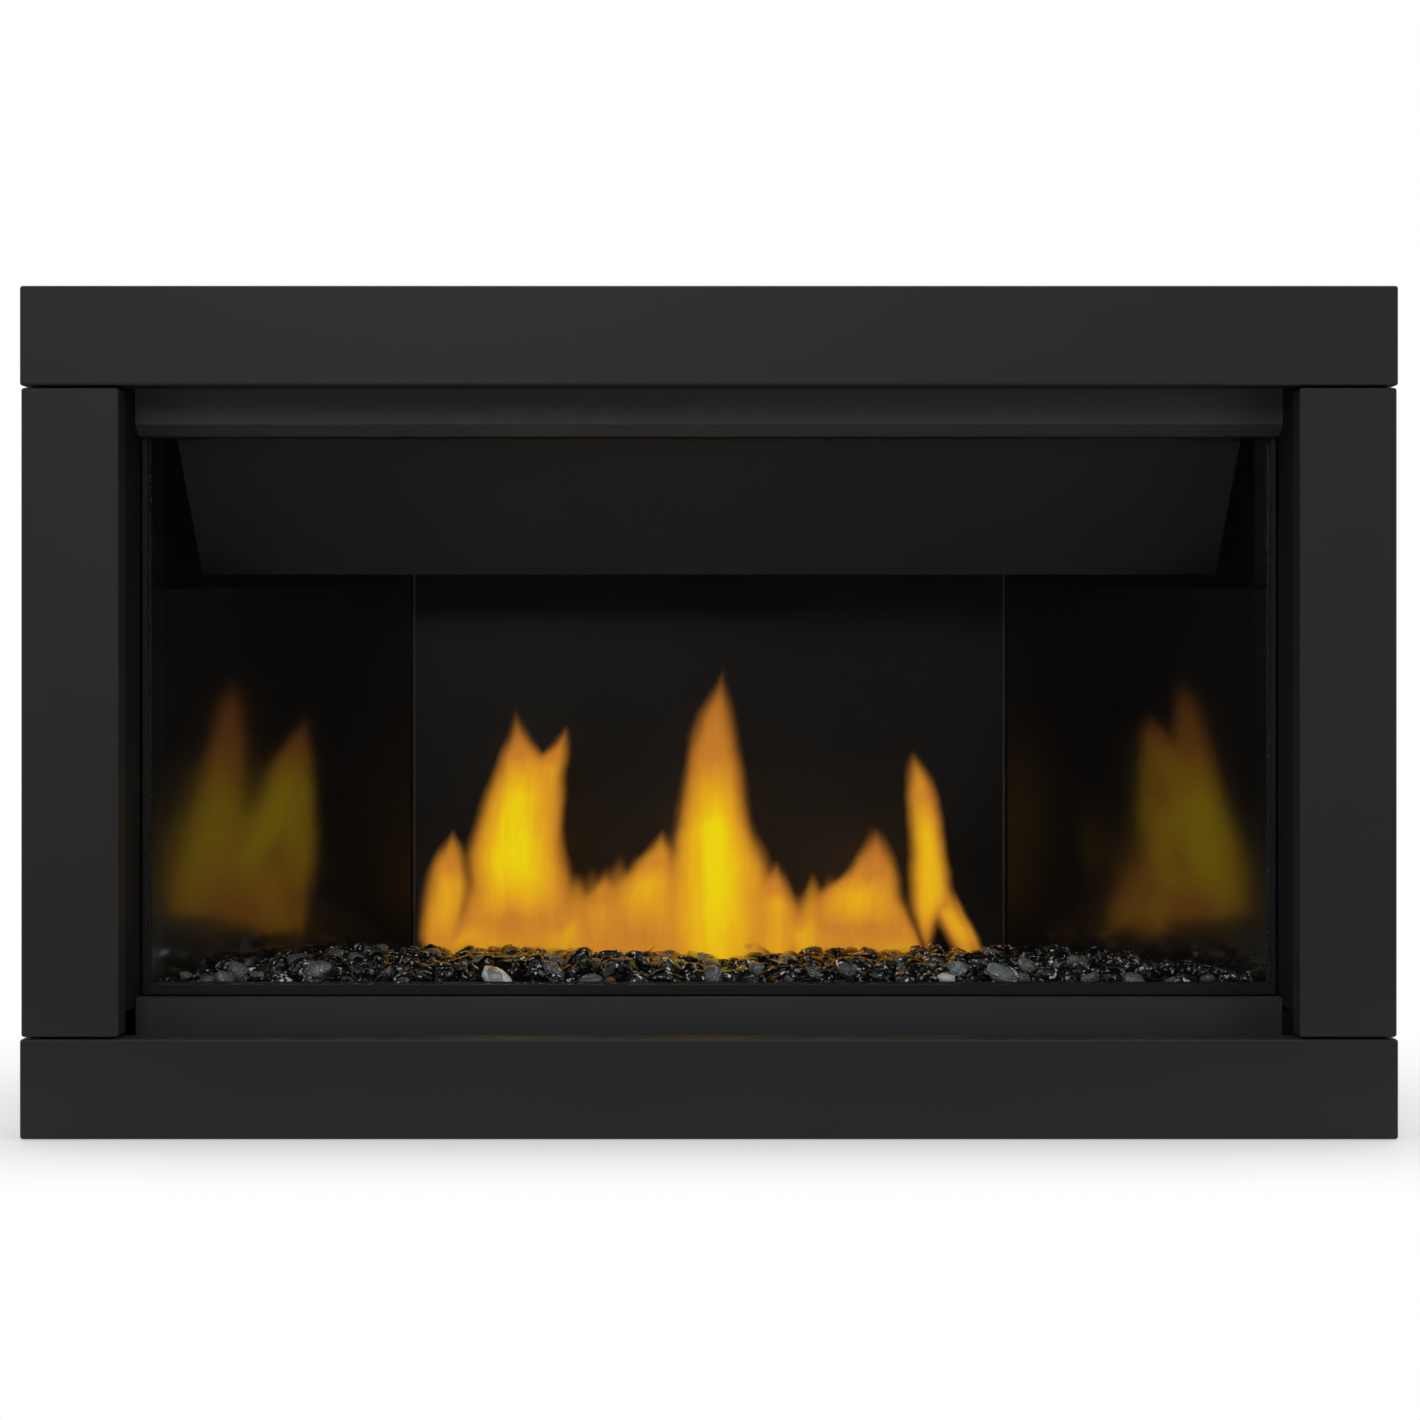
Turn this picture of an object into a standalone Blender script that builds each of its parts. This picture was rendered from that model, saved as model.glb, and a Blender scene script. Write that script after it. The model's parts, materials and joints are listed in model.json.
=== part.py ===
# Built-in direct vent gas fireplace with a linear glass front, in metres, +Z up.
# X runs to the right, the front faces -Y, and z = 0 is the underside of the case.
# Depths are measured back from the front plane of the trim, and turned into Y by at().
import math

import bmesh
import bpy
from mathutils import Matrix, Vector

# Shared clearances and sheet thicknesses
TOUCH_GAP = 0.0003
OVERRUN = 0.004
WELD_BITE = 0.0008
TRIM_SHEET = 0.0015
TRIM_BEND = 0.002
CASE_SHEET = 0.0012
CASE_BEND = 0.002
FIREBOX_SHEET = 0.0015
SMOOTH_ANGLE = math.radians(35)

# Front trim: two full-width bars with a post between them at each end
FRAME_WIDTH = 0.990
FRAME_HEIGHT = 0.613
TOP_BAR_HEIGHT = 0.0718
BOTTOM_BAR_HEIGHT = 0.0718
BAR_DEPTH = 0.024
POST_WIDTH = 0.070
POST_INSET = 0.001
SEAM = 0.0015
FRAME_HALF = FRAME_WIDTH / 2
OPENING_HALF = FRAME_HALF - POST_INSET - POST_WIDTH
TRIM_REAR = BAR_DEPTH + TOUCH_GAP

# Case behind the trim
CASE_DEPTH = 0.381
CASE_SIDE_INSET = 0.0025
CASE_TOP_INSET = 0.0005
BASE_SHEET = 0.0015
BASE_LIP = 0.015
FRONT_FLANGE = 0.030
REAR_FLANGE = 0.015
GAS_KNOCKOUT_RADIUS = 0.018
CASE_HALF = FRAME_HALF - CASE_SIDE_INSET
CASE_HEIGHT = FRAME_HEIGHT - CASE_TOP_INSET
CASE_INNER_HALF = CASE_HALF - CASE_SHEET
CASE_INNER_TOP = CASE_HEIGHT - CASE_SHEET
CASE_REAR = CASE_DEPTH - CASE_SHEET - TOUCH_GAP
BASE_TOP = BASE_SHEET + TOUCH_GAP

# Nailing strips on the case's sides
NAILING_SHEET = 0.0012
NAILING_WIDTH = 0.038
NAILING_DEPTH = 0.030
NAILING_FOOT = 0.050
NAILING_HEAD_DROP = 0.0525
NAILING_HOLE_RADIUS = 0.003
NAILING_HOLE_COUNT = 6
NAILING_HEAD = CASE_HEIGHT - NAILING_HEAD_DROP

# Burner feed: its shutter sets how deep the firebox pan is
FIREBOX_FLOOR = 0.066
VENTURI_RADIUS = 0.010
VENTURI_WALL = 0.0012
VENTURI_REACH = 0.077
SHUTTER_SHEET = 0.0017
SHUTTER_LENGTH = 0.022
SHUTTER_WINDOW_LENGTH = 0.012
SHUTTER_WINDOW_WIDTH = 0.007
SHUTTER_FLOOR_GAP = 0.0025
SHUTTER_HEADROOM = 0.0009
SHUTTER_RADIUS = VENTURI_RADIUS + TOUCH_GAP + SHUTTER_SHEET
VENTURI_BORE = VENTURI_RADIUS - VENTURI_WALL
VENTURI_Z = FIREBOX_FLOOR + SHUTTER_FLOOR_GAP + SHUTTER_RADIUS

# Firebox
FIREBOX_MARGIN = 0.006
REAR_AIR_SPACE = 0.051
ROOF_AIR_SPACE = 0.068
FIREBOX_HALF = OPENING_HALF + FIREBOX_MARGIN
FIREBOX_BACK = CASE_DEPTH - REAR_AIR_SPACE
FIREBOX_ROOF = CASE_HEIGHT - ROOF_AIR_SPACE
PAN_RIM = VENTURI_Z + SHUTTER_RADIUS + SHUTTER_HEADROOM
WALL_INNER = FIREBOX_HALF - TOUCH_GAP

# Bulkhead that carries the firebox and that the door seals on
BULKHEAD_DEPTH = 0.093
LEDGE_RISE = 0.0051
LEDGE_REACH = 0.015
WINDOW_SIDE_MARGIN = 0.0108
WINDOW_SILL = 0.0045
WINDOW_HEAD_DROP = 0.0285
BULKHEAD_REAR = BULKHEAD_DEPTH + FIREBOX_SHEET
BULKHEAD_FOOT = PAN_RIM + LEDGE_RISE
BULKHEAD_WINDOW_HALF = FIREBOX_HALF - WINDOW_SIDE_MARGIN
BULKHEAD_WINDOW_FOOT = BULKHEAD_FOOT + WINDOW_SILL
BULKHEAD_WINDOW_HEAD = FIREBOX_ROOF - WINDOW_HEAD_DROP
LEDGE_TOP = BULKHEAD_FOOT + FIREBOX_SHEET
LEDGE_REAR = BULKHEAD_DEPTH + LEDGE_REACH
PAN_FRONT = LEDGE_REAR + TOUCH_GAP

# Door
DOOR_LAP = 0.0033
DOOR_SILL_LAP = 0.008
DOOR_HEAD_LAP = 0.004
DOOR_THICKNESS = 0.009
DOOR_SIDE_RAIL = 0.0035
DOOR_FOOT_RAIL = 0.0074
DOOR_HEAD_RAIL = 0.0105
SEAL_SPACE = 0.006
PANE_THICKNESS = 0.005
PANE_SIDE_LIP = 0.002
PANE_FOOT_LIP = 0.0028
PANE_HEAD_LIP = 0.002
GASKET_SIDE_INSET = 0.001
GASKET_FOOT_INSET = 0.004
GASKET_HEAD_INSET = 0.001
GASKET_WIDTH = 0.0035
DOOR_HALF = BULKHEAD_WINDOW_HALF + DOOR_LAP
DOOR_FOOT = BULKHEAD_WINDOW_FOOT - DOOR_SILL_LAP
DOOR_HEAD = BULKHEAD_WINDOW_HEAD + DOOR_HEAD_LAP
DOOR_REAR_DEPTH = BULKHEAD_DEPTH - SEAL_SPACE
DOOR_FRONT_DEPTH = DOOR_REAR_DEPTH - DOOR_THICKNESS
DOOR_WINDOW_HALF = DOOR_HALF - DOOR_SIDE_RAIL
DOOR_WINDOW_FOOT = DOOR_FOOT + DOOR_FOOT_RAIL
DOOR_WINDOW_HEAD = DOOR_HEAD - DOOR_HEAD_RAIL
PANE_FRONT = DOOR_REAR_DEPTH - PANE_THICKNESS
PANE_HALF = DOOR_HALF - PANE_SIDE_LIP
PANE_FOOT = DOOR_FOOT + PANE_FOOT_LIP
PANE_HEAD = DOOR_HEAD - PANE_HEAD_LIP
GASKET_HALF = DOOR_HALF - GASKET_SIDE_INSET
GASKET_FOOT = DOOR_FOOT + GASKET_FOOT_INSET
GASKET_HEAD = DOOR_HEAD - GASKET_HEAD_INSET

# Rod that the door hangs on, and the door's hook over it
HINGE_FORWARD = 0.0015
HINGE_RISE = 0.010
HANGER_RADIUS = 0.0025
HANGER_HALF = 0.353
HANGER_BRACKET_SHEET = 0.003
HANGER_BRACKET_DROP = 0.006
HANGER_BRACKET_RISE = 0.009
HANGER_BRACKET_NOSE = 0.005
HOOK_SHEET = 0.0015
HOOK_ARC_STEPS = 12
HOOK_REAR_DROP = math.radians(20)
HINGE_DEPTH = DOOR_REAR_DEPTH - HINGE_FORWARD
HINGE_Z = DOOR_HEAD + HINGE_RISE

# Hood and side returns round the recess in front of the glass
RETURN_SHEET = 0.0015
RETURN_FLANGE = 0.020
RETURN_FOOT_DROP = 0.0097
RETURN_HEAD_DROP = 0.004
HOOD_SHEET = 0.0015
HOOD_REACH = 0.036
HOOD_RISE = 0.044
HOOD_FACE = 0.0418
HOOD_TAIL_REACH = 0.014
HOOD_TAIL_DROP = 0.0077
HOOD_DEPTH = BULKHEAD_DEPTH - HOOD_REACH
HOOD_TOP = BULKHEAD_WINDOW_HEAD + HOOD_RISE
HOOD_LIP = HOOD_TOP - HOOD_FACE
RETURN_FOOT = BULKHEAD_FOOT - RETURN_FOOT_DROP
RETURN_HEAD = HOOD_TOP - RETURN_HEAD_DROP

# Apron: the lower access panel, which stands on the base and tips forward
APRON_REACH = 0.033
APRON_DOOR_GAP = 0.0005
APRON_FLANGE = 0.012
APRON_SHEET = 0.0015
APRON_DEPTH = BULKHEAD_DEPTH - APRON_REACH
APRON_TOP = DOOR_FOOT - APRON_DOOR_GAP
APRON_REAR = APRON_DEPTH + APRON_SHEET

# Door latches, which hang on the pan's front wall
LATCH_X = 0.250
TONGUE_HALF = 0.018
TONGUE_RISE = 0.0005
TONGUE_SHEET = 0.0015
TONGUE_REACH = 0.016
JAW_CLEARANCE = 0.0009
LATCH_PIN_STANDOFF = 0.006
LATCH_PIN_DROP = 0.0146
LATCH_PIN_RADIUS = 0.002
LATCH_PIN_CLEARANCE = 0.00015
LATCH_BRACKET_SHEET = 0.0015
LATCH_BRACKET_HALF = 0.022
LATCH_BRACKET_DROP = 0.0115
LATCH_BRACKET_RISE = 0.012
LATCH_EAR_REACH = 0.0045
LATCH_EAR_RISE = 0.005
LEVER_HALF = 0.015
LEVER_JAW_REACH = 0.011
LEVER_JAW_LENGTH = 0.0095
LEVER_FINGER_CLEARANCE = 0.0045
LEVER_FINGER_RISE = 0.005
LEVER_FINGER_SHEET = 0.004
LEVER_HEEL_REACH = 0.0035
LEVER_HEEL_DROP = 0.0045
TONGUE_FOOT = DOOR_FOOT + TONGUE_RISE
TONGUE_HEAD = TONGUE_FOOT + TONGUE_SHEET
LEVER_JAW_TOP = TONGUE_FOOT - JAW_CLEARANCE
LATCH_PIN_DEPTH = PAN_FRONT - TOUCH_GAP - LATCH_PIN_STANDOFF
LATCH_PIN_Z = LEVER_JAW_TOP - LATCH_PIN_DROP

# Coaxial vent at the back, with the restrictor that slides across the flue on two rails
FLUE_RADIUS = 0.0508
AIR_RADIUS = 0.0889
VENT_ROOF_GAP = 0.0092
COLLAR_SHEET = 0.0012
COLLAR_STANDOUT = 0.035
COLLAR_INBOARD = 0.012
AIR_FLANGE_WIDTH = 0.018
FLUE_FLANGE_WIDTH = 0.015
COLLAR_SEGMENTS = 64
RESTRICTOR_WIDTH = 0.070
RESTRICTOR_LAP = 0.0012
RESTRICTOR_REST_GAP = 0.0042
RESTRICTOR_SHEET = 0.0015
RESTRICTOR_KNOB_RADIUS = 0.004
RESTRICTOR_KNOB_REACH = 0.006
RAIL_DEPTH = 0.0030
RAIL_HEIGHT = 0.0030
RAIL_LENGTH = 0.160
RAIL_END_RUN = 0.015
RESTRICTOR_HEAD = FIREBOX_ROOF - VENT_ROOF_GAP - RAIL_HEIGHT - TOUCH_GAP
VENT_Z = RESTRICTOR_HEAD - RESTRICTOR_LAP - FLUE_RADIUS
RESTRICTOR_FOOT = VENT_Z - FLUE_RADIUS - RESTRICTOR_LAP
RESTRICTOR_REST_X = FLUE_RADIUS + RESTRICTOR_REST_GAP + RESTRICTOR_WIDTH / 2
RAIL_HIGH_X = RESTRICTOR_REST_X + RESTRICTOR_WIDTH / 2 + RAIL_END_RUN
RAIL_LOW_X = RAIL_HIGH_X - RAIL_LENGTH

# Sloping baffle under the roof, and the liners below its ends
BAFFLE_SHEET = 0.0015
BAFFLE_SIDE_GAP = 0.030
BAFFLE_FRONT_GAP = 0.0025
BAFFLE_FRONT_DROP = 0.0043
BAFFLE_RUN = 0.106
BAFFLE_FALL = 0.0993
BAFFLE_LIP = 0.010
LINER_SHEET = 0.003
LINER_FOOT_DROP = 0.0079
LINER_DROP = 0.018
LINER_FRONT_GAP = 0.003
BAFFLE_HALF = FIREBOX_HALF - BAFFLE_SIDE_GAP
BAFFLE_FRONT_DEPTH = BULKHEAD_REAR + BAFFLE_FRONT_GAP
BAFFLE_FRONT_Z = BULKHEAD_WINDOW_HEAD - BAFFLE_FRONT_DROP
BAFFLE_REAR_DEPTH = BAFFLE_FRONT_DEPTH + BAFFLE_RUN
BAFFLE_REAR_Z = BAFFLE_FRONT_Z - BAFFLE_FALL
LINER_FOOT = BAFFLE_REAR_Z - LINER_FOOT_DROP
LINER_HEAD_DEPTH = BAFFLE_FRONT_DEPTH + LINER_FRONT_GAP

# Reflector panels
REFLECTOR_SHEET = 0.003
REFLECTOR_FRONT_GAP = 0.0027
REFLECTOR_SIDE_GAP = 0.0085
REFLECTOR_BACK_GAP = 0.0055
REFLECTOR_REAR_HALF = 0.2470
REFLECTOR_TOP_DROP = 0.0154
REFLECTOR_TOP_RISE = 0.013
REFLECTOR_RAIL_GAP = 0.0017
REFLECTOR_FRONT_DEPTH = BULKHEAD_REAR + REFLECTOR_FRONT_GAP
REFLECTOR_FRONT_HALF = FIREBOX_HALF - REFLECTOR_SIDE_GAP
REFLECTOR_REAR_DEPTH = FIREBOX_BACK - REFLECTOR_BACK_GAP
REFLECTOR_FRONT_TOP = BAFFLE_REAR_Z - REFLECTOR_TOP_DROP
REFLECTOR_REAR_TOP = REFLECTOR_FRONT_TOP + REFLECTOR_TOP_RISE
BACK_REFLECTOR_TOP = RESTRICTOR_FOOT - TOUCH_GAP - RAIL_HEIGHT - REFLECTOR_RAIL_GAP

# Orifice fitting, burner pan, port plate, tray and media
ORIFICE_WALL_GAP = 0.026
ORIFICE_REACH = 0.0295
ORIFICE_GAP = 0.0025
ORIFICE_RADIUS = 0.005
ORIFICE_STEM_RADIUS = 0.006
ORIFICE_STEM_DROP = 0.016
ORIFICE_STEM_RISE = 0.008
ORIFICE_NUT_RADIUS = 0.010
ORIFICE_NUT_HEIGHT = 0.006
BURNER_WIDTH = 0.076
BURNER_FORWARD = 0.00225
BURNER_SHEET = 0.0012
PORT_PLATE_RIM = 0.004
PORT_RADIUS = 0.0016
PORT_ROW_OFFSET = 0.014
PORT_COUNT = 18
PORT_MARGIN = 0.020
TRAY_SHEET = 0.0015
MEDIA_FRONT_RISE = 0.005
MEDIA_REAR_RISE = 0.001
ORIFICE_STEM_X = FIREBOX_HALF - ORIFICE_WALL_GAP
ORIFICE_STEM_FOOT = FIREBOX_FLOOR - ORIFICE_STEM_DROP
ORIFICE_STEM_HEAD = VENTURI_Z + ORIFICE_STEM_RISE
VENTURI_END = ORIFICE_STEM_X - ORIFICE_REACH - ORIFICE_GAP
BURNER_HALF = VENTURI_END - VENTURI_REACH
BURNER_DEPTH = (BULKHEAD_REAR + FIREBOX_BACK) / 2 - BURNER_FORWARD
BURNER_FRONT_DEPTH = BURNER_DEPTH - BURNER_WIDTH / 2
BURNER_REAR_DEPTH = BURNER_DEPTH + BURNER_WIDTH / 2
TRAY_FOOT = PAN_RIM + TOUCH_GAP
TRAY_TOP = TRAY_FOOT + TRAY_SHEET
MEDIA_FRONT_TOP = LEDGE_TOP + MEDIA_FRONT_RISE
MEDIA_REAR_TOP = LEDGE_TOP + MEDIA_REAR_RISE

# Pilot behind the burner
PILOT_X = -0.220
PILOT_SETBACK = 0.023
PILOT_SHEET = 0.0015
PILOT_BRACKET_HALF = 0.017
PILOT_BRACKET_REACH = 0.019
PILOT_BRACKET_RISE = 0.0113
PILOT_HOOD_RADIUS = 0.0055
PILOT_HOOD_RISE = 0.0138
PILOT_NECK_SHARE = 0.7
PILOT_WAIST_SHARE = 0.4
PILOT_SHOULDER_SHARE = 0.5
PILOT_CROWN_SHARE = 0.9
PILOT_ROD_SPACING = 0.0115
PILOT_ROD_RADIUS = 0.0012
PILOT_ROD_RISE = 0.0153
PILOT_CERAMIC_RADIUS = 0.0028
PILOT_CERAMIC_RISE = 0.0083
PILOT_NOTCH_MARGIN = 0.003
PILOT_DEPTH = BURNER_REAR_DEPTH + PILOT_SETBACK

# Pressure relief flaps on the firebox roof
RELIEF_X = 0.240
RELIEF_PORT_HALF = 0.035
RELIEF_PORT_LENGTH = 0.040
RELIEF_BACK_SPACE = 0.095
FLAP_SIDE_LAP = 0.010
FLAP_FRONT_LAP = 0.007
FLAP_SHEET = 0.0012
RELIEF_ROD_SETBACK = 0.017
RELIEF_ROD_RADIUS = 0.0015
RELIEF_BORE_CLEARANCE = 0.00015
RELIEF_KNUCKLE_RADIUS = 0.003
RELIEF_KNUCKLE_GAP = 0.0006
RELIEF_EAR_SHEET = 0.002
RELIEF_EAR_GAP = 0.0015
RELIEF_EAR_DEPTH = 0.010
RELIEF_EAR_RISE = 0.0044
RELIEF_PORT_REAR = FIREBOX_BACK - RELIEF_BACK_SPACE
RELIEF_PORT_FRONT = RELIEF_PORT_REAR - RELIEF_PORT_LENGTH
RELIEF_ROD_DEPTH = RELIEF_PORT_REAR + RELIEF_ROD_SETBACK
RELIEF_ROD_Z = FIREBOX_ROOF + FIREBOX_SHEET + RELIEF_KNUCKLE_GAP + RELIEF_KNUCKLE_RADIUS
FLAP_HALF = RELIEF_PORT_HALF + FLAP_SIDE_LAP

# Gas train in the lower compartment
VALVE_X = 0.150
VALVE_HALF = 0.050
VALVE_SETBACK = 0.052
VALVE_LENGTH = 0.070
VALVE_HEADROOM = 0.016
VALVE_BEND = 0.004
REGULATOR_RADIUS = 0.015
REGULATOR_HEIGHT = 0.010
KNOB_OFFSET = 0.020
KNOB_Z = 0.028
KNOB_RADIUS = 0.014
KNOB_LENGTH = 0.014
KNOB_FLUTES = 12
KNOB_FLUTE_DEPTH = 0.0008
GAS_LINE_Z = 0.030
GAS_LINE_SETBACK = 0.038
COCK_WALL_GAP = 0.0813
COCK_LENGTH = 0.045
COCK_RADIUS = 0.010
COCK_BORE = 0.006
COCK_BOSS_SETBACK = 0.024
COCK_BOSS_RADIUS = 0.007
COCK_BOSS_RISE = 0.015
COCK_BRACKET_HALF = 0.008
COCK_LEVER_SHEET = 0.003
COCK_LEVER_REACH = 0.040
COCK_LEVER_HALF = 0.006
COCK_HUB_RADIUS = 0.009
FLEX_RADIUS = 0.006
FLEX_END_RUN = 0.012
FLEX_DROP = 0.008
MANIFOLD_RADIUS = 0.004
MANIFOLD_END_RUN = 0.016
TUBE_STEPS = 24
VALVE_FRONT = APRON_DEPTH + VALVE_SETBACK
VALVE_REAR = VALVE_FRONT + VALVE_LENGTH
VALVE_HEAD = FIREBOX_FLOOR - VALVE_HEADROOM
KNOB_X = VALVE_X - KNOB_OFFSET
COCK_DEPTH = VALVE_FRONT + GAS_LINE_SETBACK
COCK_X_HIGH = CASE_INNER_HALF - COCK_WALL_GAP
COCK_X_LOW = COCK_X_HIGH - COCK_LENGTH
COCK_BOSS_X = COCK_X_HIGH - COCK_BOSS_SETBACK
COCK_BOSS_HEAD = GAS_LINE_Z + COCK_BOSS_RISE

# Controls in the lower compartment
MODULE_X = -0.145
MODULE_HALF = 0.055
MODULE_SETBACK = 0.055
MODULE_LENGTH = 0.080
MODULE_HEAD = 0.036
MODULE_BEND = 0.002
ROCKER_Z = 0.019
ROCKER_HALF_WIDTH = 0.010
ROCKER_HALF_HEIGHT = 0.0056
ROCKER_PIVOT_SETBACK = 0.0040
ROCKER_FACE_REACH = 0.0048
ROCKER_DISH = 0.0016
ROCKER_RECESS_HALF = 0.0078
ROCKER_RECESS_DEPTH = 0.010
ROCKER_BACK_REACH = 0.0036
ROCKER_SIDE_GAP = 0.0004
ROCKER_TILT = math.radians(6)
BATTERY_WALL_GAP = 0.1675
BATTERY_HALF = 0.040
BATTERY_SETBACK = 0.050
BATTERY_LENGTH = 0.060
BATTERY_HEAD = 0.030
JUNCTION_INBOARD = 0.060
JUNCTION_BACK_SPACE = 0.039
JUNCTION_LENGTH = 0.080
JUNCTION_HEADROOM = 0.006
MODULE_FRONT = APRON_DEPTH + MODULE_SETBACK
BATTERY_FRONT = APRON_DEPTH + BATTERY_SETBACK
BATTERY_X = BATTERY_WALL_GAP - CASE_HALF
JUNCTION_REAR = CASE_DEPTH - JUNCTION_BACK_SPACE
JUNCTION_HEAD = FIREBOX_FLOOR - JUNCTION_HEADROOM

# The front plane's place, midway between it and the collars' ends being y = 0
FRONT_Y = -(CASE_DEPTH + COLLAR_STANDOUT) / 2


def clear_scene():
    for item in list(bpy.data.objects):
        bpy.data.objects.remove(item, do_unlink=True)


def at(x, depth, z):
    return Vector((x, FRONT_Y + depth, z))


def finish(name, color, roughness, metallic=0.0, transmission=0.0):
    made = bpy.data.materials.new(name)
    made.use_nodes = True
    shader = made.node_tree.nodes["Principled BSDF"]
    shader.inputs["Base Color"].default_value = (*color, 1.0)
    shader.inputs["Roughness"].default_value = roughness
    shader.inputs["Metallic"].default_value = metallic
    shader.inputs["Transmission Weight"].default_value = transmission
    return made


# An empty on a joint's axis, which carries the pieces that turn about it
def joint_empty(name, place):
    empty = bpy.data.objects.new(name, None)
    empty.location = place
    bpy.context.collection.objects.link(empty)
    return empty


# A named object from a mesh built in world places, with its origin at its centre or on its joint
def piece(name, shape, look, pivot=None, smooth=False):
    if pivot is None:
        low = Vector([min(v.co[k] for v in shape.verts) for k in range(3)])
        high = Vector([max(v.co[k] for v in shape.verts) for k in range(3)])
        origin = (low + high) / 2
    else:
        origin = pivot.location.copy()
    bmesh.ops.translate(shape, verts=shape.verts, vec=-origin)
    bmesh.ops.recalc_face_normals(shape, faces=shape.faces)
    mesh = bpy.data.meshes.new(name)
    shape.to_mesh(mesh)
    shape.free()
    if smooth:
        mesh.shade_smooth()
        mesh.set_sharp_from_angle(angle=SMOOTH_ANGLE)
    mesh.materials.append(look)
    made = bpy.data.objects.new(name, mesh)
    bpy.context.collection.objects.link(made)
    if pivot is None:
        made.location = origin
    else:
        made.parent = pivot
    return made


# Adds a Boolean modifier whose helper object stays out of the model
def combine(target, shape, operation):
    name = target.name + "_" + operation.lower() + "_" + str(len(target.modifiers))
    bmesh.ops.recalc_face_normals(shape, faces=shape.faces)
    mesh = bpy.data.meshes.new(name)
    shape.to_mesh(mesh)
    shape.free()
    helper = bpy.data.objects.new(name, mesh)
    helper.hide_render = True
    helper.display_type = "WIRE"
    bpy.context.collection.objects.link(helper)
    change = target.modifiers.new(operation.title(), "BOOLEAN")
    change.operation = operation
    change.solver = "EXACT"
    change.object = helper


def cut(target, shape):
    combine(target, shape, "DIFFERENCE")


def join(target, shape):
    combine(target, shape, "UNION")


def box(low, high):
    shape = bmesh.new()
    size = Vector(high) - Vector(low)
    middle = (Vector(high) + Vector(low)) / 2
    place = Matrix.Translation(at(*middle)) @ Matrix.Diagonal((*size, 1.0))
    bmesh.ops.create_cube(shape, size=1.0, matrix=place)
    return shape


# Rounds the edges that a test picks
def soften(shape, picks, radius, steps=3):
    edges = [edge for edge in shape.edges if picks(edge)]
    bmesh.ops.bevel(shape, geom=edges, offset=radius, segments=steps, profile=0.5, affect="EDGES")
    return shape


# A solid from a closed outline, swept between two places along one axis
def sweep(outline, low, high):
    shape = bmesh.new()
    start = [shape.verts.new(low(point)) for point in outline]
    end = [shape.verts.new(high(point)) for point in outline]
    shape.faces.new(start)
    shape.faces.new(list(reversed(end)))
    count = len(outline)
    for index in range(count):
        after = (index + 1) % count
        shape.faces.new((start[after], start[index], end[index], end[after]))
    bmesh.ops.recalc_face_normals(shape, faces=shape.faces)
    return shape


# Outline in (depth, z), swept along X
def profile_x(outline, low_x, high_x):
    return sweep(outline, lambda p: at(low_x, p[0], p[1]), lambda p: at(high_x, p[0], p[1]))


# Outline in (x, depth), swept up
def profile_z(outline, low_z, high_z):
    return sweep(outline, lambda p: at(p[0], p[1], low_z), lambda p: at(p[0], p[1], high_z))


# The closed outline of a folded sheet, from the line of its one face, with mitred folds
def folded(line, thickness):
    points = [Vector(point) for point in line]
    offset = []
    for index, point in enumerate(points):
        before = points[max(index - 1, 0)]
        after = points[min(index + 1, len(points) - 1)]
        first = (point - before).normalized() if index else (after - point).normalized()
        second = (after - point).normalized() if index < len(points) - 1 else first
        left_first = Vector((-first.y, first.x))
        left_second = Vector((-second.y, second.x))
        mitre = (left_first + left_second).normalized()
        offset.append(point + mitre * (thickness / mitre.dot(left_first)))
    return [tuple(point) for point in points] + [tuple(point) for point in reversed(offset)]


# A turned solid: outline in (along, radius) about an axis through a place
def turned(outline, place, axis, segments=24):
    shape = bmesh.new()
    direction = Vector(axis)
    across = direction.orthogonal().normalized()
    rings = []
    for index in range(segments):
        spoke = Matrix.Rotation(math.tau * index / segments, 3, direction) @ across
        rings.append([shape.verts.new(place + direction * a + spoke * r) for a, r in outline])
    count = len(outline)
    for index in range(segments):
        ring = rings[index]
        following = rings[(index + 1) % segments]
        for spot in range(count):
            after = (spot + 1) % count
            shape.faces.new((ring[spot], ring[after], following[after], following[spot]))
    bmesh.ops.remove_doubles(shape, verts=shape.verts, dist=TOUCH_GAP / 1000)
    bmesh.ops.recalc_face_normals(shape, faces=shape.faces)
    return shape


def rod(place, axis, radius, length, segments=24):
    return turned([(0, 0), (0, radius), (length, radius), (length, 0)], place, axis, segments)


def tube(place, axis, radius, bore, length, segments=24):
    return turned([(0, bore), (0, radius), (length, radius), (length, bore)], place, axis, segments)


# A round bar through a smooth curve, with flat ends
def curved_bar(name, points, radius, look):
    curve = bpy.data.curves.new(name, "CURVE")
    curve.dimensions = "3D"
    curve.bevel_depth = radius
    curve.bevel_resolution = 3
    curve.use_fill_caps = True
    spline = curve.splines.new("POLY")
    spline.points.add(len(points) - 1)
    for spot, point in zip(spline.points, points):
        spot.co = (*(point - points[0]), 1.0)
    curve.materials.append(look)
    made = bpy.data.objects.new(name, curve)
    made.location = points[0]
    bpy.context.collection.objects.link(made)
    return made


# Points of a cubic curve that leaves its start and meets its end along given runs
def smooth_run(start, start_run, end, end_run, steps):
    first = start + start_run
    last = end - end_run
    points = [start]
    for index in range(steps + 1):
        t = index / steps
        lead = start_run * 3
        trail = end_run * 3
        a = (1 - t) ** 3 * first + 3 * t * (1 - t) ** 2 * (first + lead)
        points.append(a + 3 * t * t * (1 - t) * (last - trail) + t ** 3 * last)
    points.append(end)
    return points


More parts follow.
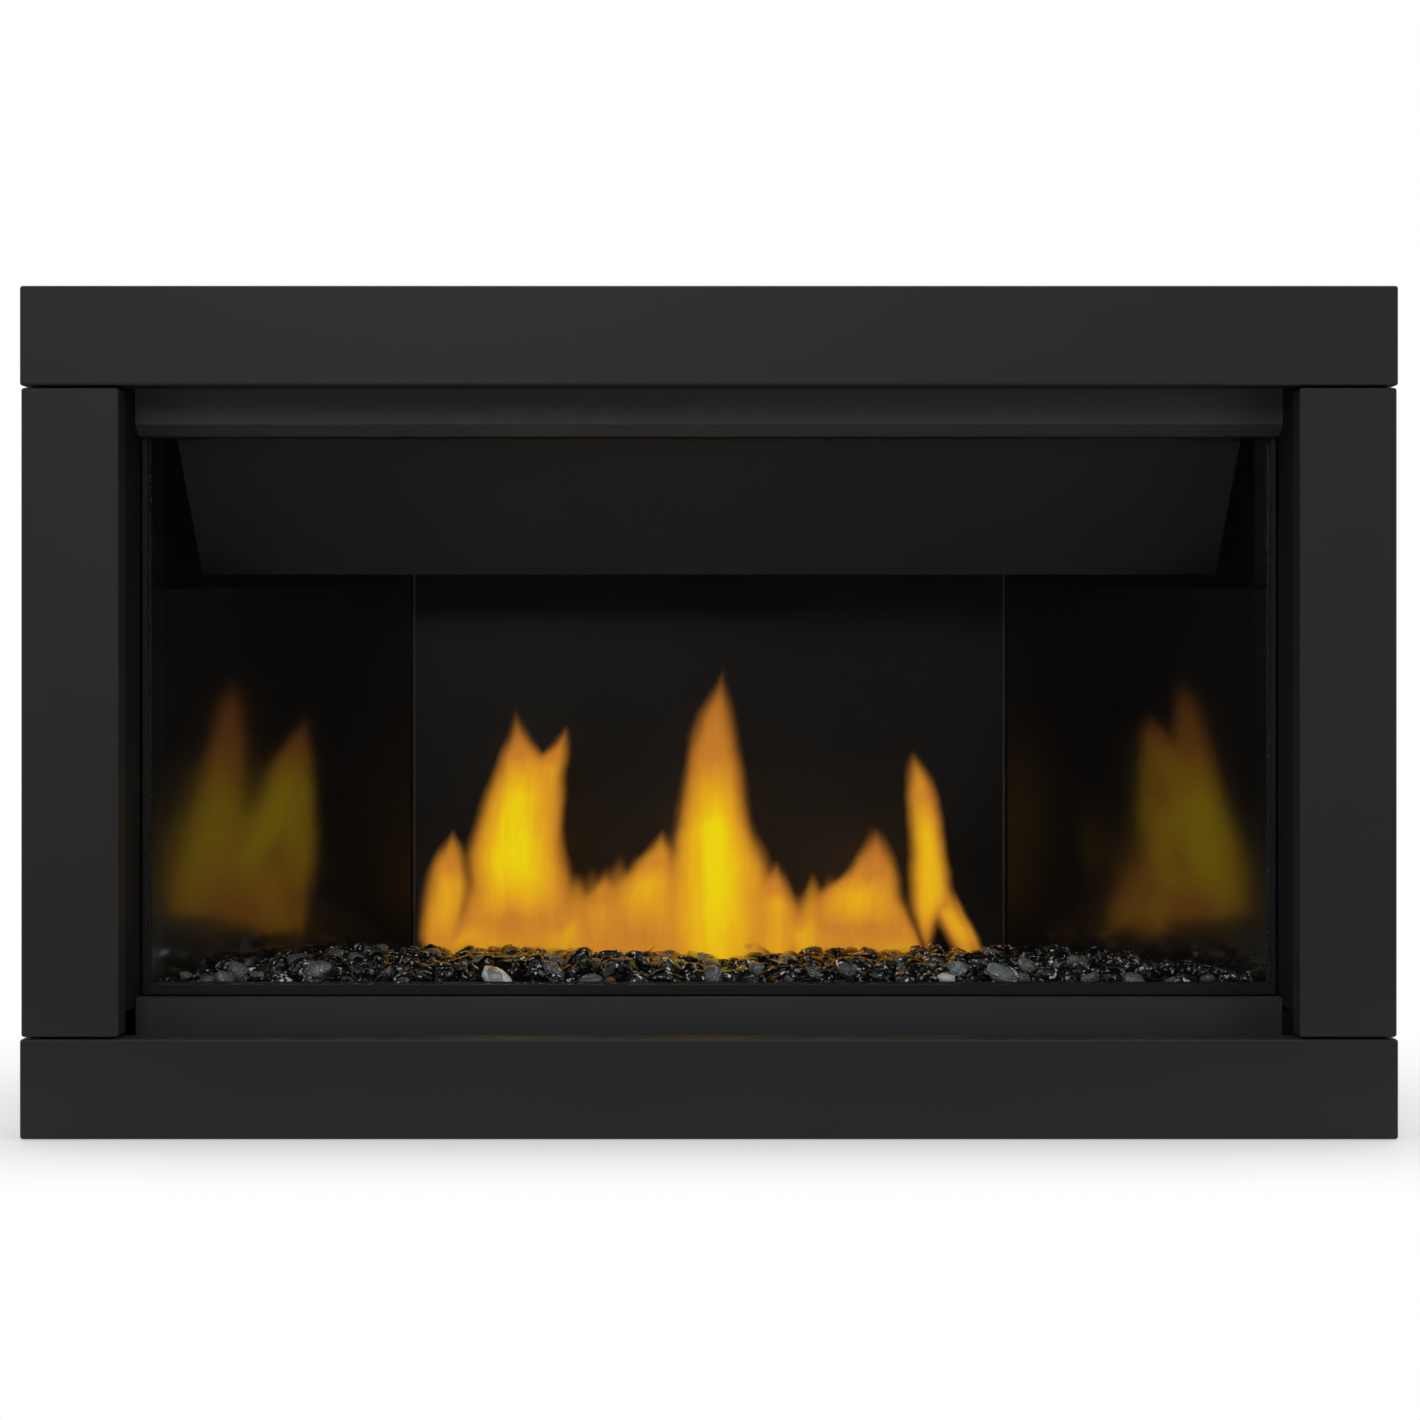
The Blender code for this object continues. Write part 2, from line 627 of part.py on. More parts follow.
# A trim member: a pan folded from one sheet, open at the back, with soft front edges
def trim_pan(name, low, high, look):
    back = FRONT_Y + high[1]
    shape = box(low, high)
    soften(shape, lambda e: any(v.co.y < back - TRIM_BEND for v in e.verts), TRIM_BEND)
    made = piece(name, shape, look)
    wall = Vector((TRIM_SHEET, TRIM_SHEET, TRIM_SHEET))
    reach = Vector((-TRIM_SHEET, OVERRUN, -TRIM_SHEET))
    cut(made, box(Vector(low) + wall, Vector(high) + reach))
    return made


def make_front_trim(look):
    top_foot = FRAME_HEIGHT - TOP_BAR_HEIGHT
    trim_pan("top_trim_bar", (-FRAME_HALF, 0, top_foot), (FRAME_HALF, BAR_DEPTH, FRAME_HEIGHT), look)
    trim_pan("bottom_trim_bar", (-FRAME_HALF, 0, 0), (FRAME_HALF, BAR_DEPTH, BOTTOM_BAR_HEIGHT), look)
    foot = BOTTOM_BAR_HEIGHT + SEAM
    head = top_foot - SEAM
    outer = FRAME_HALF - POST_INSET
    trim_pan("left_trim_post", (-outer, 0, foot), (-OPENING_HALF, BAR_DEPTH, head), look)
    trim_pan("right_trim_post", (OPENING_HALF, 0, foot), (outer, BAR_DEPTH, head), look)


# Top and sides of the case, folded in one, with flanges turned in at the front and the back
def make_case_wrap(look):
    foot = BASE_TOP
    shape = box((-CASE_HALF, TRIM_REAR, foot), (CASE_HALF, CASE_REAR, CASE_HEIGHT))
    floor_line = foot + CASE_BEND

    def top_side_edge(edge):
        start, end = [v.co for v in edge.verts]
        return min(start.z, end.z) > floor_line and abs(start.x - end.x) < CASE_BEND

    soften(shape, top_side_edge, CASE_BEND)
    made = piece("case_wrap", shape, look)
    front = TRIM_REAR + CASE_SHEET
    rear = CASE_REAR - CASE_SHEET
    cut(made, box((-CASE_INNER_HALF, front, -OVERRUN), (CASE_INNER_HALF, rear, CASE_INNER_TOP)))
    inner = CASE_HALF - FRONT_FLANGE
    head = CASE_HEIGHT - FRONT_FLANGE
    cut(made, box((-inner, -OVERRUN, -OVERRUN), (inner, front + OVERRUN, head)))
    inner = CASE_HALF - REAR_FLANGE
    head = CASE_HEIGHT - REAR_FLANGE
    cut(made, box((-inner, rear - OVERRUN, -OVERRUN), (inner, CASE_DEPTH + OVERRUN, head)))
    start = at(CASE_INNER_HALF - OVERRUN, COCK_DEPTH, GAS_LINE_Z)
    cut(made, rod(start, (1, 0, 0), GAS_KNOCKOUT_RADIUS, OVERRUN * 2 + CASE_SHEET))


# Base pan with a lip turned up along each side and the back
def make_case_base(look):
    outer = CASE_INNER_HALF - TOUCH_GAP
    shape = box((-CASE_HALF, TRIM_REAR, 0), (CASE_HALF, CASE_REAR, BASE_SHEET))
    made = piece("case_base", shape, look)
    rear = CASE_REAR - CASE_SHEET - TOUCH_GAP
    lip = BASE_SHEET + BASE_LIP
    front = TRIM_REAR + CASE_SHEET + TOUCH_GAP
    rim = upright_lip(outer, front, rear, lip)
    join(made, rim)


# A lip that stands up along both sides and the back
def upright_lip(outer, front, rear, lip):
    inner = outer - BASE_SHEET
    outline = [(-outer, front), (-outer, rear), (outer, rear), (outer, front),
               (inner, front), (inner, rear - BASE_SHEET), (-inner, rear - BASE_SHEET), (-inner, front)]
    return profile_z(outline, BASE_SHEET - WELD_BITE, lip)


def make_case_back(look):
    half = CASE_HALF
    front = CASE_REAR + TOUCH_GAP
    shape = box((-half, front, 0), (half, CASE_DEPTH, CASE_HEIGHT))
    made = piece("case_back", shape, look)
    start = at(0, front - OVERRUN, VENT_Z)
    cut(made, rod(start, (0, 1, 0), AIR_RADIUS + TOUCH_GAP, OVERRUN * 3, COLLAR_SEGMENTS))


# Strips on the case's sides, folded flat, that are bent out and nailed to the studs
def make_nailing_strips(look):
    for side, name in ((-1, "left_nailing_strip"), (1, "right_nailing_strip")):
        inner = side * (CASE_HALF + TOUCH_GAP)
        outer = side * (CASE_HALF + TOUCH_GAP + NAILING_SHEET)
        rear = NAILING_DEPTH + NAILING_WIDTH
        low = (min(inner, outer), NAILING_DEPTH, NAILING_FOOT)
        made = piece(name, box(low, (max(inner, outer), rear, NAILING_HEAD)), look)
        spacing = (NAILING_HEAD - NAILING_FOOT) / NAILING_HOLE_COUNT
        middle = NAILING_DEPTH + NAILING_WIDTH / 2
        for index in range(NAILING_HOLE_COUNT):
            z = NAILING_FOOT + spacing * (index + 0.5)
            start = at(side * (CASE_HALF - OVERRUN), middle, z)
            cut(made, rod(start, (side, 0, 0), NAILING_HOLE_RADIUS, OVERRUN * 2 + NAILING_SHEET, 12))


# Plain dark sheets from the posts back to the bulkhead
def make_side_returns(look):
    for side, name in ((-1, "left_side_return"), (1, "right_side_return")):
        front = TRIM_REAR
        rear = BULKHEAD_DEPTH - TOUCH_GAP
        flange = OPENING_HALF + RETURN_FLANGE
        line = [(flange, rear), (OPENING_HALF, rear), (OPENING_HALF, front), (flange, front)]
        outline = [(side * x, depth) for x, depth in folded(line, RETURN_SHEET)]
        piece(name, profile_z(outline, RETURN_FOOT, RETURN_HEAD), look)


def make_hood(look):
    half = OPENING_HALF - TOUCH_GAP
    line = [(BULKHEAD_DEPTH - TOUCH_GAP, HOOD_TOP), (HOOD_DEPTH, HOOD_TOP),
            (HOOD_DEPTH, HOOD_LIP), (HOOD_DEPTH + HOOD_TAIL_REACH, HOOD_LIP - HOOD_TAIL_DROP)]
    piece("hood", profile_x(folded(line, HOOD_SHEET), -half, half), look)


def make_apron(look, pivot):
    half = OPENING_HALF - TOUCH_GAP
    line = [(APRON_DEPTH, BASE_TOP), (APRON_DEPTH, APRON_TOP), (APRON_DEPTH + APRON_FLANGE, APRON_TOP)]
    outline = folded(list(reversed(line)), APRON_SHEET)
    piece("apron_panel", profile_x(outline, -half, half), look, pivot)


# Bulkhead with the window that the door covers and a ledge folded back under it
def make_bulkhead(look):
    half = CASE_INNER_HALF - TOUCH_GAP
    low = (-half, BULKHEAD_DEPTH, BULKHEAD_FOOT)
    made = piece("firebox_bulkhead", box(low, (half, BULKHEAD_REAR, CASE_INNER_TOP - TOUCH_GAP)), look)
    low = (-WALL_INNER, BULKHEAD_REAR - WELD_BITE, BULKHEAD_FOOT)
    join(made, box(low, (WALL_INNER, LEDGE_REAR, LEDGE_TOP)))
    window = BULKHEAD_WINDOW_HALF
    low = (-window, BULKHEAD_DEPTH - OVERRUN, BULKHEAD_WINDOW_FOOT)
    cut(made, box(low, (window, BULKHEAD_REAR + OVERRUN, BULKHEAD_WINDOW_HEAD)))


# Deep pan whose front wall rises to the ledge, with a hole for the gas feed
def make_firebox_floor(look):
    half = WALL_INNER
    under = FIREBOX_FLOOR - FIREBOX_SHEET
    rear = FIREBOX_BACK - TOUCH_GAP
    made = piece("firebox_floor", box((-half, PAN_FRONT, under), (half, rear, PAN_RIM)), look)
    join(made, box((-half, PAN_FRONT, PAN_RIM - WELD_BITE), (half, PAN_FRONT + FIREBOX_SHEET, LEDGE_TOP)))
    inner = half - FIREBOX_SHEET
    low = (-inner, PAN_FRONT + FIREBOX_SHEET, FIREBOX_FLOOR)
    cut(made, box(low, (inner, rear - FIREBOX_SHEET, LEDGE_TOP + OVERRUN)))
    start = at(ORIFICE_STEM_X, BURNER_DEPTH, under - OVERRUN)
    cut(made, rod(start, (0, 0, 1), ORIFICE_STEM_RADIUS + TOUCH_GAP, OVERRUN * 3))


def make_firebox_walls(look):
    front = BULKHEAD_REAR + TOUCH_GAP
    foot = FIREBOX_FLOOR - FIREBOX_SHEET
    head = FIREBOX_ROOF - TOUCH_GAP
    rear = FIREBOX_BACK - TOUCH_GAP
    outer = FIREBOX_HALF + FIREBOX_SHEET
    piece("firebox_left_wall", box((-outer, front, foot), (-FIREBOX_HALF, rear, head)), look)
    piece("firebox_right_wall", box((FIREBOX_HALF, front, foot), (outer, rear, head)), look)


# Roof plate with the two relief ports
def make_firebox_roof(look):
    outer = FIREBOX_HALF + FIREBOX_SHEET
    low = (-outer, BULKHEAD_REAR + TOUCH_GAP, FIREBOX_ROOF)
    high = (outer, FIREBOX_BACK + FIREBOX_SHEET, FIREBOX_ROOF + FIREBOX_SHEET)
    made = piece("firebox_roof", box(low, high), look)
    for side in (-1, 1):
        middle = side * RELIEF_X
        low = (middle - RELIEF_PORT_HALF, RELIEF_PORT_FRONT, FIREBOX_ROOF - OVERRUN)
        high = (middle + RELIEF_PORT_HALF, RELIEF_PORT_REAR, FIREBOX_ROOF + OVERRUN)
        cut(made, box(low, high))


# Back plate with the flue hole and the rails of the restrictor
def make_firebox_back(look):
    outer = FIREBOX_HALF + FIREBOX_SHEET
    foot = FIREBOX_FLOOR - FIREBOX_SHEET
    head = FIREBOX_ROOF - TOUCH_GAP
    rear = FIREBOX_BACK + FIREBOX_SHEET
    made = piece("firebox_back", box((-outer, FIREBOX_BACK, foot), (outer, rear, head)), look)
    start = at(0, FIREBOX_BACK - OVERRUN, VENT_Z)
    cut(made, rod(start, (0, 1, 0), FLUE_RADIUS + TOUCH_GAP, OVERRUN * 3, COLLAR_SEGMENTS))
    front = FIREBOX_BACK - RAIL_DEPTH
    into = FIREBOX_BACK + WELD_BITE
    top = RESTRICTOR_FOOT - TOUCH_GAP
    join(made, box((RAIL_LOW_X, front, top - RAIL_HEIGHT), (RAIL_HIGH_X, into, top)))
    foot = RESTRICTOR_HEAD + TOUCH_GAP
    join(made, box((RAIL_LOW_X, front, foot), (RAIL_HIGH_X, into, foot + RAIL_HEIGHT)))


# Liners on the side walls that end along a line below the baffle
def make_upper_liners(look):
    slope = (BAFFLE_REAR_Z - BAFFLE_FRONT_Z) / (BAFFLE_REAR_DEPTH - BAFFLE_FRONT_DEPTH)
    head = BAFFLE_FRONT_Z - LINER_DROP + slope * (LINER_HEAD_DEPTH - BAFFLE_FRONT_DEPTH)
    rear = LINER_HEAD_DEPTH + (LINER_FOOT - head) / slope
    outline = [(LINER_HEAD_DEPTH, LINER_FOOT), (rear, LINER_FOOT), (LINER_HEAD_DEPTH, head)]
    inner = WALL_INNER - LINER_SHEET
    piece("left_upper_liner", profile_x(outline, -WALL_INNER, -inner), look)
    piece("right_upper_liner", profile_x(outline, inner, WALL_INNER), look)


def make_baffle(look):
    top = FIREBOX_ROOF - TOUCH_GAP
    run = Vector((BAFFLE_REAR_DEPTH - BAFFLE_FRONT_DEPTH, BAFFLE_REAR_Z - BAFFLE_FRONT_Z)).normalized()
    lip = (BAFFLE_REAR_DEPTH + run.y * -BAFFLE_LIP, BAFFLE_REAR_Z + run.x * BAFFLE_LIP)
    line = [(BAFFLE_FRONT_DEPTH, top), (BAFFLE_FRONT_DEPTH, BAFFLE_FRONT_Z),
            (BAFFLE_REAR_DEPTH, BAFFLE_REAR_Z), lip]
    piece("baffle", profile_x(folded(line, BAFFLE_SHEET), -BAFFLE_HALF, BAFFLE_HALF), look)


# Upright panels: one flat at the back and one angled at each side
def make_reflectors(look):
    low = (-REFLECTOR_REAR_HALF, REFLECTOR_REAR_DEPTH + TOUCH_GAP, TRAY_TOP + TOUCH_GAP)
    high = (REFLECTOR_REAR_HALF, REFLECTOR_REAR_DEPTH + TOUCH_GAP + REFLECTOR_SHEET, BACK_REFLECTOR_TOP)
    piece("back_reflector", box(low, high), look)
    start = Vector((REFLECTOR_FRONT_HALF, REFLECTOR_FRONT_DEPTH))
    end = Vector((REFLECTOR_REAR_HALF + TOUCH_GAP, REFLECTOR_REAR_DEPTH))
    run = (end - start).normalized()
    outward = Vector((-run.y, run.x))
    if outward.x < 0:
        outward = -outward
    step = (PAN_FRONT + FIREBOX_SHEET + TOUCH_GAP - REFLECTOR_FRONT_DEPTH) / run.y
    length = (end - start).length
    foot = TRAY_TOP + TOUCH_GAP
    rise = LEDGE_TOP + TOUCH_GAP
    outline = [(0, rise), (step, rise), (step, foot), (length, foot),
               (length, REFLECTOR_REAR_TOP), (0, REFLECTOR_FRONT_TOP)]

    def face(side, point, out):
        spot = start + run * point[0] + outward * out
        return at(side * spot.x, spot.y, point[1])

    for side, name in ((-1, "left_reflector"), (1, "right_reflector")):
        shape = sweep(outline, lambda p: face(side, p, 0), lambda p: face(side, p, REFLECTOR_SHEET))
        piece(name, shape, look)


# Flat tray over the pan, cut out for the burner
def make_media_tray(look):
    half = WALL_INNER
    front = PAN_FRONT + FIREBOX_SHEET + TOUCH_GAP
    low = (-half, front, TRAY_FOOT)
    made = piece("media_tray", box(low, (half, FIREBOX_BACK - TOUCH_GAP, TRAY_TOP)), look)
    rim = PORT_PLATE_RIM + TOUCH_GAP
    low = (-BURNER_HALF - rim, BURNER_FRONT_DEPTH - rim, TRAY_FOOT - OVERRUN)
    high = (BURNER_HALF + rim, BURNER_REAR_DEPTH + rim, TRAY_TOP + OVERRUN)
    cut(made, box(low, high))


# Trough under the ports, open at the end that the venturi's plate closes
def make_burner_pan(look):
    foot = FIREBOX_FLOOR + TOUCH_GAP
    head = PAN_RIM
    low = (-BURNER_HALF, BURNER_FRONT_DEPTH, foot)
    made = piece("burner_pan", box(low, (BURNER_HALF, BURNER_REAR_DEPTH, head)), look)
    wall = BURNER_SHEET
    low = (-BURNER_HALF + wall, BURNER_FRONT_DEPTH + wall, foot + wall)
    cut(made, box(low, (BURNER_HALF + OVERRUN, BURNER_REAR_DEPTH - wall, head + OVERRUN)))


# Port plate on the pan's rim, with two rows of ports
def make_port_plate(look):
    half = BURNER_HALF + PORT_PLATE_RIM
    front = BURNER_FRONT_DEPTH - PORT_PLATE_RIM
    rear = BURNER_REAR_DEPTH + PORT_PLATE_RIM
    made = piece("burner_port_plate", box((-half, front, TRAY_FOOT), (half, rear, TRAY_TOP)), look)
    run = BURNER_HALF - PORT_MARGIN
    holes = bmesh.new()
    for row in (-1, 1):
        for index in range(PORT_COUNT):
            x = -run + 2 * run * index / (PORT_COUNT - 1)
            start = at(x, BURNER_DEPTH + row * PORT_ROW_OFFSET, TRAY_FOOT - OVERRUN)
            drill = rod(start, (0, 0, 1), PORT_RADIUS, OVERRUN * 3, 8)
            mesh = bpy.data.meshes.new("port")
            drill.to_mesh(mesh)
            drill.free()
            holes.from_mesh(mesh)
            bpy.data.meshes.remove(mesh)
    cut(made, holes)


# Media bed: a shallow layer over the ledge and the tray, within the reflectors
def make_media_bed(look):
    front = BULKHEAD_REAR + TOUCH_GAP
    rear = REFLECTOR_REAR_DEPTH
    step = PAN_FRONT + FIREBOX_SHEET + TOUCH_GAP
    outline = [(front, LEDGE_TOP + TOUCH_GAP), (step, LEDGE_TOP + TOUCH_GAP), (step, TRAY_TOP + TOUCH_GAP),
               (rear, TRAY_TOP + TOUCH_GAP), (rear, MEDIA_REAR_TOP), (front, MEDIA_FRONT_TOP)]
    half = FIREBOX_HALF
    made = piece("media_bed", profile_x(outline, -half, half), look)
    slope = (REFLECTOR_REAR_HALF - REFLECTOR_FRONT_HALF) / (REFLECTOR_REAR_DEPTH - REFLECTOR_FRONT_DEPTH)
    near = REFLECTOR_FRONT_HALF + slope * (front - REFLECTOR_FRONT_DEPTH) - TOUCH_GAP * 2
    near = min(near, BULKHEAD_WINDOW_HALF)
    far = REFLECTOR_REAR_HALF - TOUCH_GAP * 2
    plan = [(-near, front - OVERRUN), (near, front - OVERRUN), (near, front), (far, rear),
            (far, rear + OVERRUN), (-far, rear + OVERRUN), (-far, rear), (-near, front)]
    foot = TRAY_FOOT - OVERRUN
    combine(made, profile_z(plan, foot, MEDIA_FRONT_TOP + OVERRUN), "INTERSECT")
    notch = PILOT_BRACKET_HALF + PILOT_NOTCH_MARGIN
    reach = PILOT_BRACKET_REACH / 2 + PILOT_NOTCH_MARGIN
    low = (PILOT_X - notch, PILOT_DEPTH - reach, foot)
    high = (PILOT_X + notch, PILOT_DEPTH + reach, MEDIA_FRONT_TOP + OVERRUN)
    cut(made, box(low, high))


# Venturi with the plate that ends the pan, its turning air shutter, and the orifice fitting that feeds it
def make_burner_feed(steel, brass, pivot):
    near = BURNER_HALF + TOUCH_GAP
    low = (near, BURNER_FRONT_DEPTH, FIREBOX_FLOOR + TOUCH_GAP)
    plate = box(low, (near + BURNER_SHEET, BURNER_REAR_DEPTH, PAN_RIM))
    venturi = piece("venturi_tube", plate, steel, smooth=True)
    join(venturi, rod(at(near, BURNER_DEPTH, VENTURI_Z), (1, 0, 0), VENTURI_RADIUS, VENTURI_END - near))
    start = at(near - OVERRUN, BURNER_DEPTH, VENTURI_Z)
    cut(venturi, rod(start, (1, 0, 0), VENTURI_BORE, VENTURI_END - near + OVERRUN * 2))
    start = at(VENTURI_END - SHUTTER_LENGTH, BURNER_DEPTH, VENTURI_Z)
    sleeve = tube(start, (1, 0, 0), SHUTTER_RADIUS, VENTURI_RADIUS + TOUCH_GAP, SHUTTER_LENGTH)
    shutter = piece("air_shutter", sleeve, steel, pivot, smooth=True)
    middle = VENTURI_END - SHUTTER_LENGTH / 2
    low = (middle - SHUTTER_WINDOW_LENGTH / 2, BURNER_DEPTH - SHUTTER_RADIUS - OVERRUN,
           VENTURI_Z - SHUTTER_WINDOW_WIDTH / 2)
    high = (middle + SHUTTER_WINDOW_LENGTH / 2, BURNER_DEPTH + SHUTTER_RADIUS + OVERRUN,
            VENTURI_Z + SHUTTER_WINDOW_WIDTH / 2)
    cut(shutter, box(low, high))
    start = at(ORIFICE_STEM_X, BURNER_DEPTH, ORIFICE_STEM_FOOT)
    stem = rod(start, (0, 0, 1), ORIFICE_STEM_RADIUS, ORIFICE_STEM_HEAD - ORIFICE_STEM_FOOT)
    fitting = piece("orifice_fitting", stem, brass, smooth=True)
    mouth = VENTURI_END + ORIFICE_GAP
    start = at(mouth, BURNER_DEPTH, VENTURI_Z)
    join(fitting, rod(start, (1, 0, 0), ORIFICE_RADIUS, ORIFICE_STEM_X - mouth))
    start = at(ORIFICE_STEM_X, BURNER_DEPTH, FIREBOX_FLOOR + TOUCH_GAP)
    join(fitting, rod(start, (0, 0, 1), ORIFICE_NUT_RADIUS, ORIFICE_NUT_HEIGHT, 6))


def make_pilot(steel, ceramic):
    foot = TRAY_TOP + TOUCH_GAP
    front = PILOT_DEPTH - PILOT_BRACKET_REACH / 2
    rear = PILOT_DEPTH + PILOT_BRACKET_REACH / 2
    line = [(front, TRAY_TOP + PILOT_BRACKET_RISE), (front, foot), (rear, foot)]
    outline = folded(line, PILOT_SHEET)
    low = PILOT_X - PILOT_BRACKET_HALF
    high = PILOT_X + PILOT_BRACKET_HALF
    piece("pilot_bracket", profile_x(outline, low, high), steel)
    seat = foot + PILOT_SHEET + TOUCH_GAP
    rise = TRAY_TOP + PILOT_HOOD_RISE - seat
    neck = PILOT_HOOD_RADIUS * PILOT_NECK_SHARE
    outline = [(0, 0), (0, neck), (rise * PILOT_WAIST_SHARE, neck),
               (rise * PILOT_SHOULDER_SHARE, PILOT_HOOD_RADIUS),
               (rise * PILOT_CROWN_SHARE, PILOT_HOOD_RADIUS), (rise, neck), (rise, 0)]
    piece("pilot_hood", turned(outline, at(PILOT_X, PILOT_DEPTH, seat), (0, 0, 1), 16), steel, smooth=True)
    for side, name in ((1, "spark_electrode"), (-1, "flame_sensor")):
        x = PILOT_X + side * PILOT_ROD_SPACING
        sleeve = TRAY_TOP + PILOT_CERAMIC_RISE - seat
        tip = TRAY_TOP + PILOT_ROD_RISE - seat
        outline = [(0, 0), (0, PILOT_CERAMIC_RADIUS), (sleeve, PILOT_CERAMIC_RADIUS),
                   (sleeve, PILOT_ROD_RADIUS), (tip, PILOT_ROD_RADIUS), (tip, 0)]
        piece(name, turned(outline, at(x, PILOT_DEPTH, seat), (0, 0, 1), 12), ceramic, smooth=True)


# Points of the door's hook, which wraps over the hanger rod from the front
def hook_outline():
    inner = HANGER_RADIUS + TOUCH_GAP
    outer = inner + HOOK_SHEET
    sweep_angle = math.pi + HOOK_REAR_DROP
    foot = DOOR_HEAD - WELD_BITE
    points = [(HINGE_DEPTH - outer, foot)]
    for index in range(HOOK_ARC_STEPS + 1):
        angle = math.pi - sweep_angle * index / HOOK_ARC_STEPS
        points.append((HINGE_DEPTH + outer * math.cos(angle), HINGE_Z + outer * math.sin(angle)))
    for index in range(HOOK_ARC_STEPS, -1, -1):
        angle = math.pi - sweep_angle * index / HOOK_ARC_STEPS
        points.append((HINGE_DEPTH + inner * math.cos(angle), HINGE_Z + inner * math.sin(angle)))
    points.append((HINGE_DEPTH - inner, foot))
    return points


# Door frame: a slim ring round the pane, with a hook along its head and a tongue at each latch
def make_door_frame(look, pivot):
    ring = box((-DOOR_HALF, DOOR_FRONT_DEPTH, DOOR_FOOT), (DOOR_HALF, DOOR_REAR_DEPTH, DOOR_HEAD))
    made = piece("door_frame", ring, look, pivot)
    low = (-DOOR_WINDOW_HALF, DOOR_FRONT_DEPTH - OVERRUN, DOOR_WINDOW_FOOT)
    cut(made, box(low, (DOOR_WINDOW_HALF, DOOR_REAR_DEPTH + OVERRUN, DOOR_WINDOW_HEAD)))
    low = (-PANE_HALF - TOUCH_GAP, PANE_FRONT - TOUCH_GAP, PANE_FOOT - TOUCH_GAP)
    cut(made, box(low, (PANE_HALF + TOUCH_GAP, DOOR_REAR_DEPTH + OVERRUN, PANE_HEAD + TOUCH_GAP)))
    hook_half = HANGER_HALF - HANGER_BRACKET_SHEET * 2
    join(made, profile_x(hook_outline(), -hook_half, hook_half))
    for side in (-1, 1):
        middle = side * LATCH_X
        low = (middle - TONGUE_HALF, PANE_FRONT, TONGUE_FOOT)
        join(made, box(low, (middle + TONGUE_HALF, DOOR_REAR_DEPTH + TONGUE_REACH, TONGUE_HEAD)))


def make_pane(look, pivot):
    shape = box((-PANE_HALF, PANE_FRONT, PANE_FOOT), (PANE_HALF, DOOR_REAR_DEPTH, PANE_HEAD))
    piece("glass_pane", shape, look, pivot)


def make_gasket(look, pivot):
    front = DOOR_REAR_DEPTH + TOUCH_GAP
    rear = BULKHEAD_DEPTH - TOUCH_GAP
    shape = box((-GASKET_HALF, front, GASKET_FOOT), (GASKET_HALF, rear, GASKET_HEAD))
    made = piece("door_gasket", shape, look, pivot)
    inner = GASKET_HALF - GASKET_WIDTH
    low = (-inner, front - OVERRUN, GASKET_FOOT + GASKET_WIDTH)
    cut(made, box(low, (inner, rear + OVERRUN, GASKET_HEAD - GASKET_WIDTH)))


# Rod that the door hangs on, welded between two brackets on the bulkhead
def make_hanger(look):
    shape = rod(at(-HANGER_HALF, HINGE_DEPTH, HINGE_Z), (1, 0, 0), HANGER_RADIUS, HANGER_HALF * 2, 16)
    made = piece("door_hanger", shape, look, smooth=True)
    for side in (-1, 1):
        outer = side * HANGER_HALF
        inner = side * (HANGER_HALF - HANGER_BRACKET_SHEET)
        low = (min(outer, inner), HINGE_DEPTH - HANGER_BRACKET_NOSE, HINGE_Z - HANGER_BRACKET_DROP)
        high = (max(outer, inner), BULKHEAD_DEPTH - TOUCH_GAP, HINGE_Z + HANGER_BRACKET_RISE)
        join(made, box(low, high))


# Latch bracket on the front wall of the firebox pan: a plate, two ears and the pin between them
def make_latch_bracket(name, middle, look):
    rear = PAN_FRONT - TOUCH_GAP
    front = rear - LATCH_BRACKET_SHEET
    half = LATCH_BRACKET_HALF
    low = (middle - half, front, LATCH_PIN_Z - LATCH_BRACKET_DROP)
    high = (middle + half, rear, LATCH_PIN_Z + LATCH_BRACKET_RISE)
    made = piece(name, box(low, high), look)
    for side in (-1, 1):
        outer = middle + side * half
        inner = middle + side * (half - LATCH_BRACKET_SHEET)
        low = (min(outer, inner), LATCH_PIN_DEPTH - LATCH_EAR_REACH, LATCH_PIN_Z - LATCH_EAR_RISE)
        join(made, box(low, (max(outer, inner), rear - WELD_BITE, LATCH_PIN_Z + LATCH_EAR_RISE)))
    start = at(middle - half + LATCH_BRACKET_SHEET / 2, LATCH_PIN_DEPTH, LATCH_PIN_Z)
    join(made, rod(start, (1, 0, 0), LATCH_PIN_RADIUS, half * 2 - LATCH_BRACKET_SHEET, 16))


# Latch lever: its jaw lies under the door's tongue and its finger reaches forward
def make_latch_lever(name, middle, look, pivot):
    tip = APRON_REAR + LEVER_FINGER_CLEARANCE
    under = LATCH_PIN_Z + LEVER_FINGER_RISE
    over = under + LEVER_FINGER_SHEET
    front = LATCH_PIN_DEPTH - LEVER_JAW_REACH
    outline = [(tip, under), (tip, over), (front, over), (front, LEVER_JAW_TOP),
               (front + LEVER_JAW_LENGTH, LEVER_JAW_TOP), (LATCH_PIN_DEPTH + LEVER_HEEL_REACH, LATCH_PIN_Z),
               (LATCH_PIN_DEPTH, LATCH_PIN_Z - LEVER_HEEL_DROP), (front, under)]
    made = piece(name, profile_x(outline, middle - LEVER_HALF, middle + LEVER_HALF), look, pivot)
    start = at(middle - LEVER_HALF - OVERRUN, LATCH_PIN_DEPTH, LATCH_PIN_Z)
    length = (LEVER_HALF + OVERRUN) * 2
    cut(made, rod(start, (1, 0, 0), LATCH_PIN_RADIUS + LATCH_PIN_CLEARANCE, length, 16))


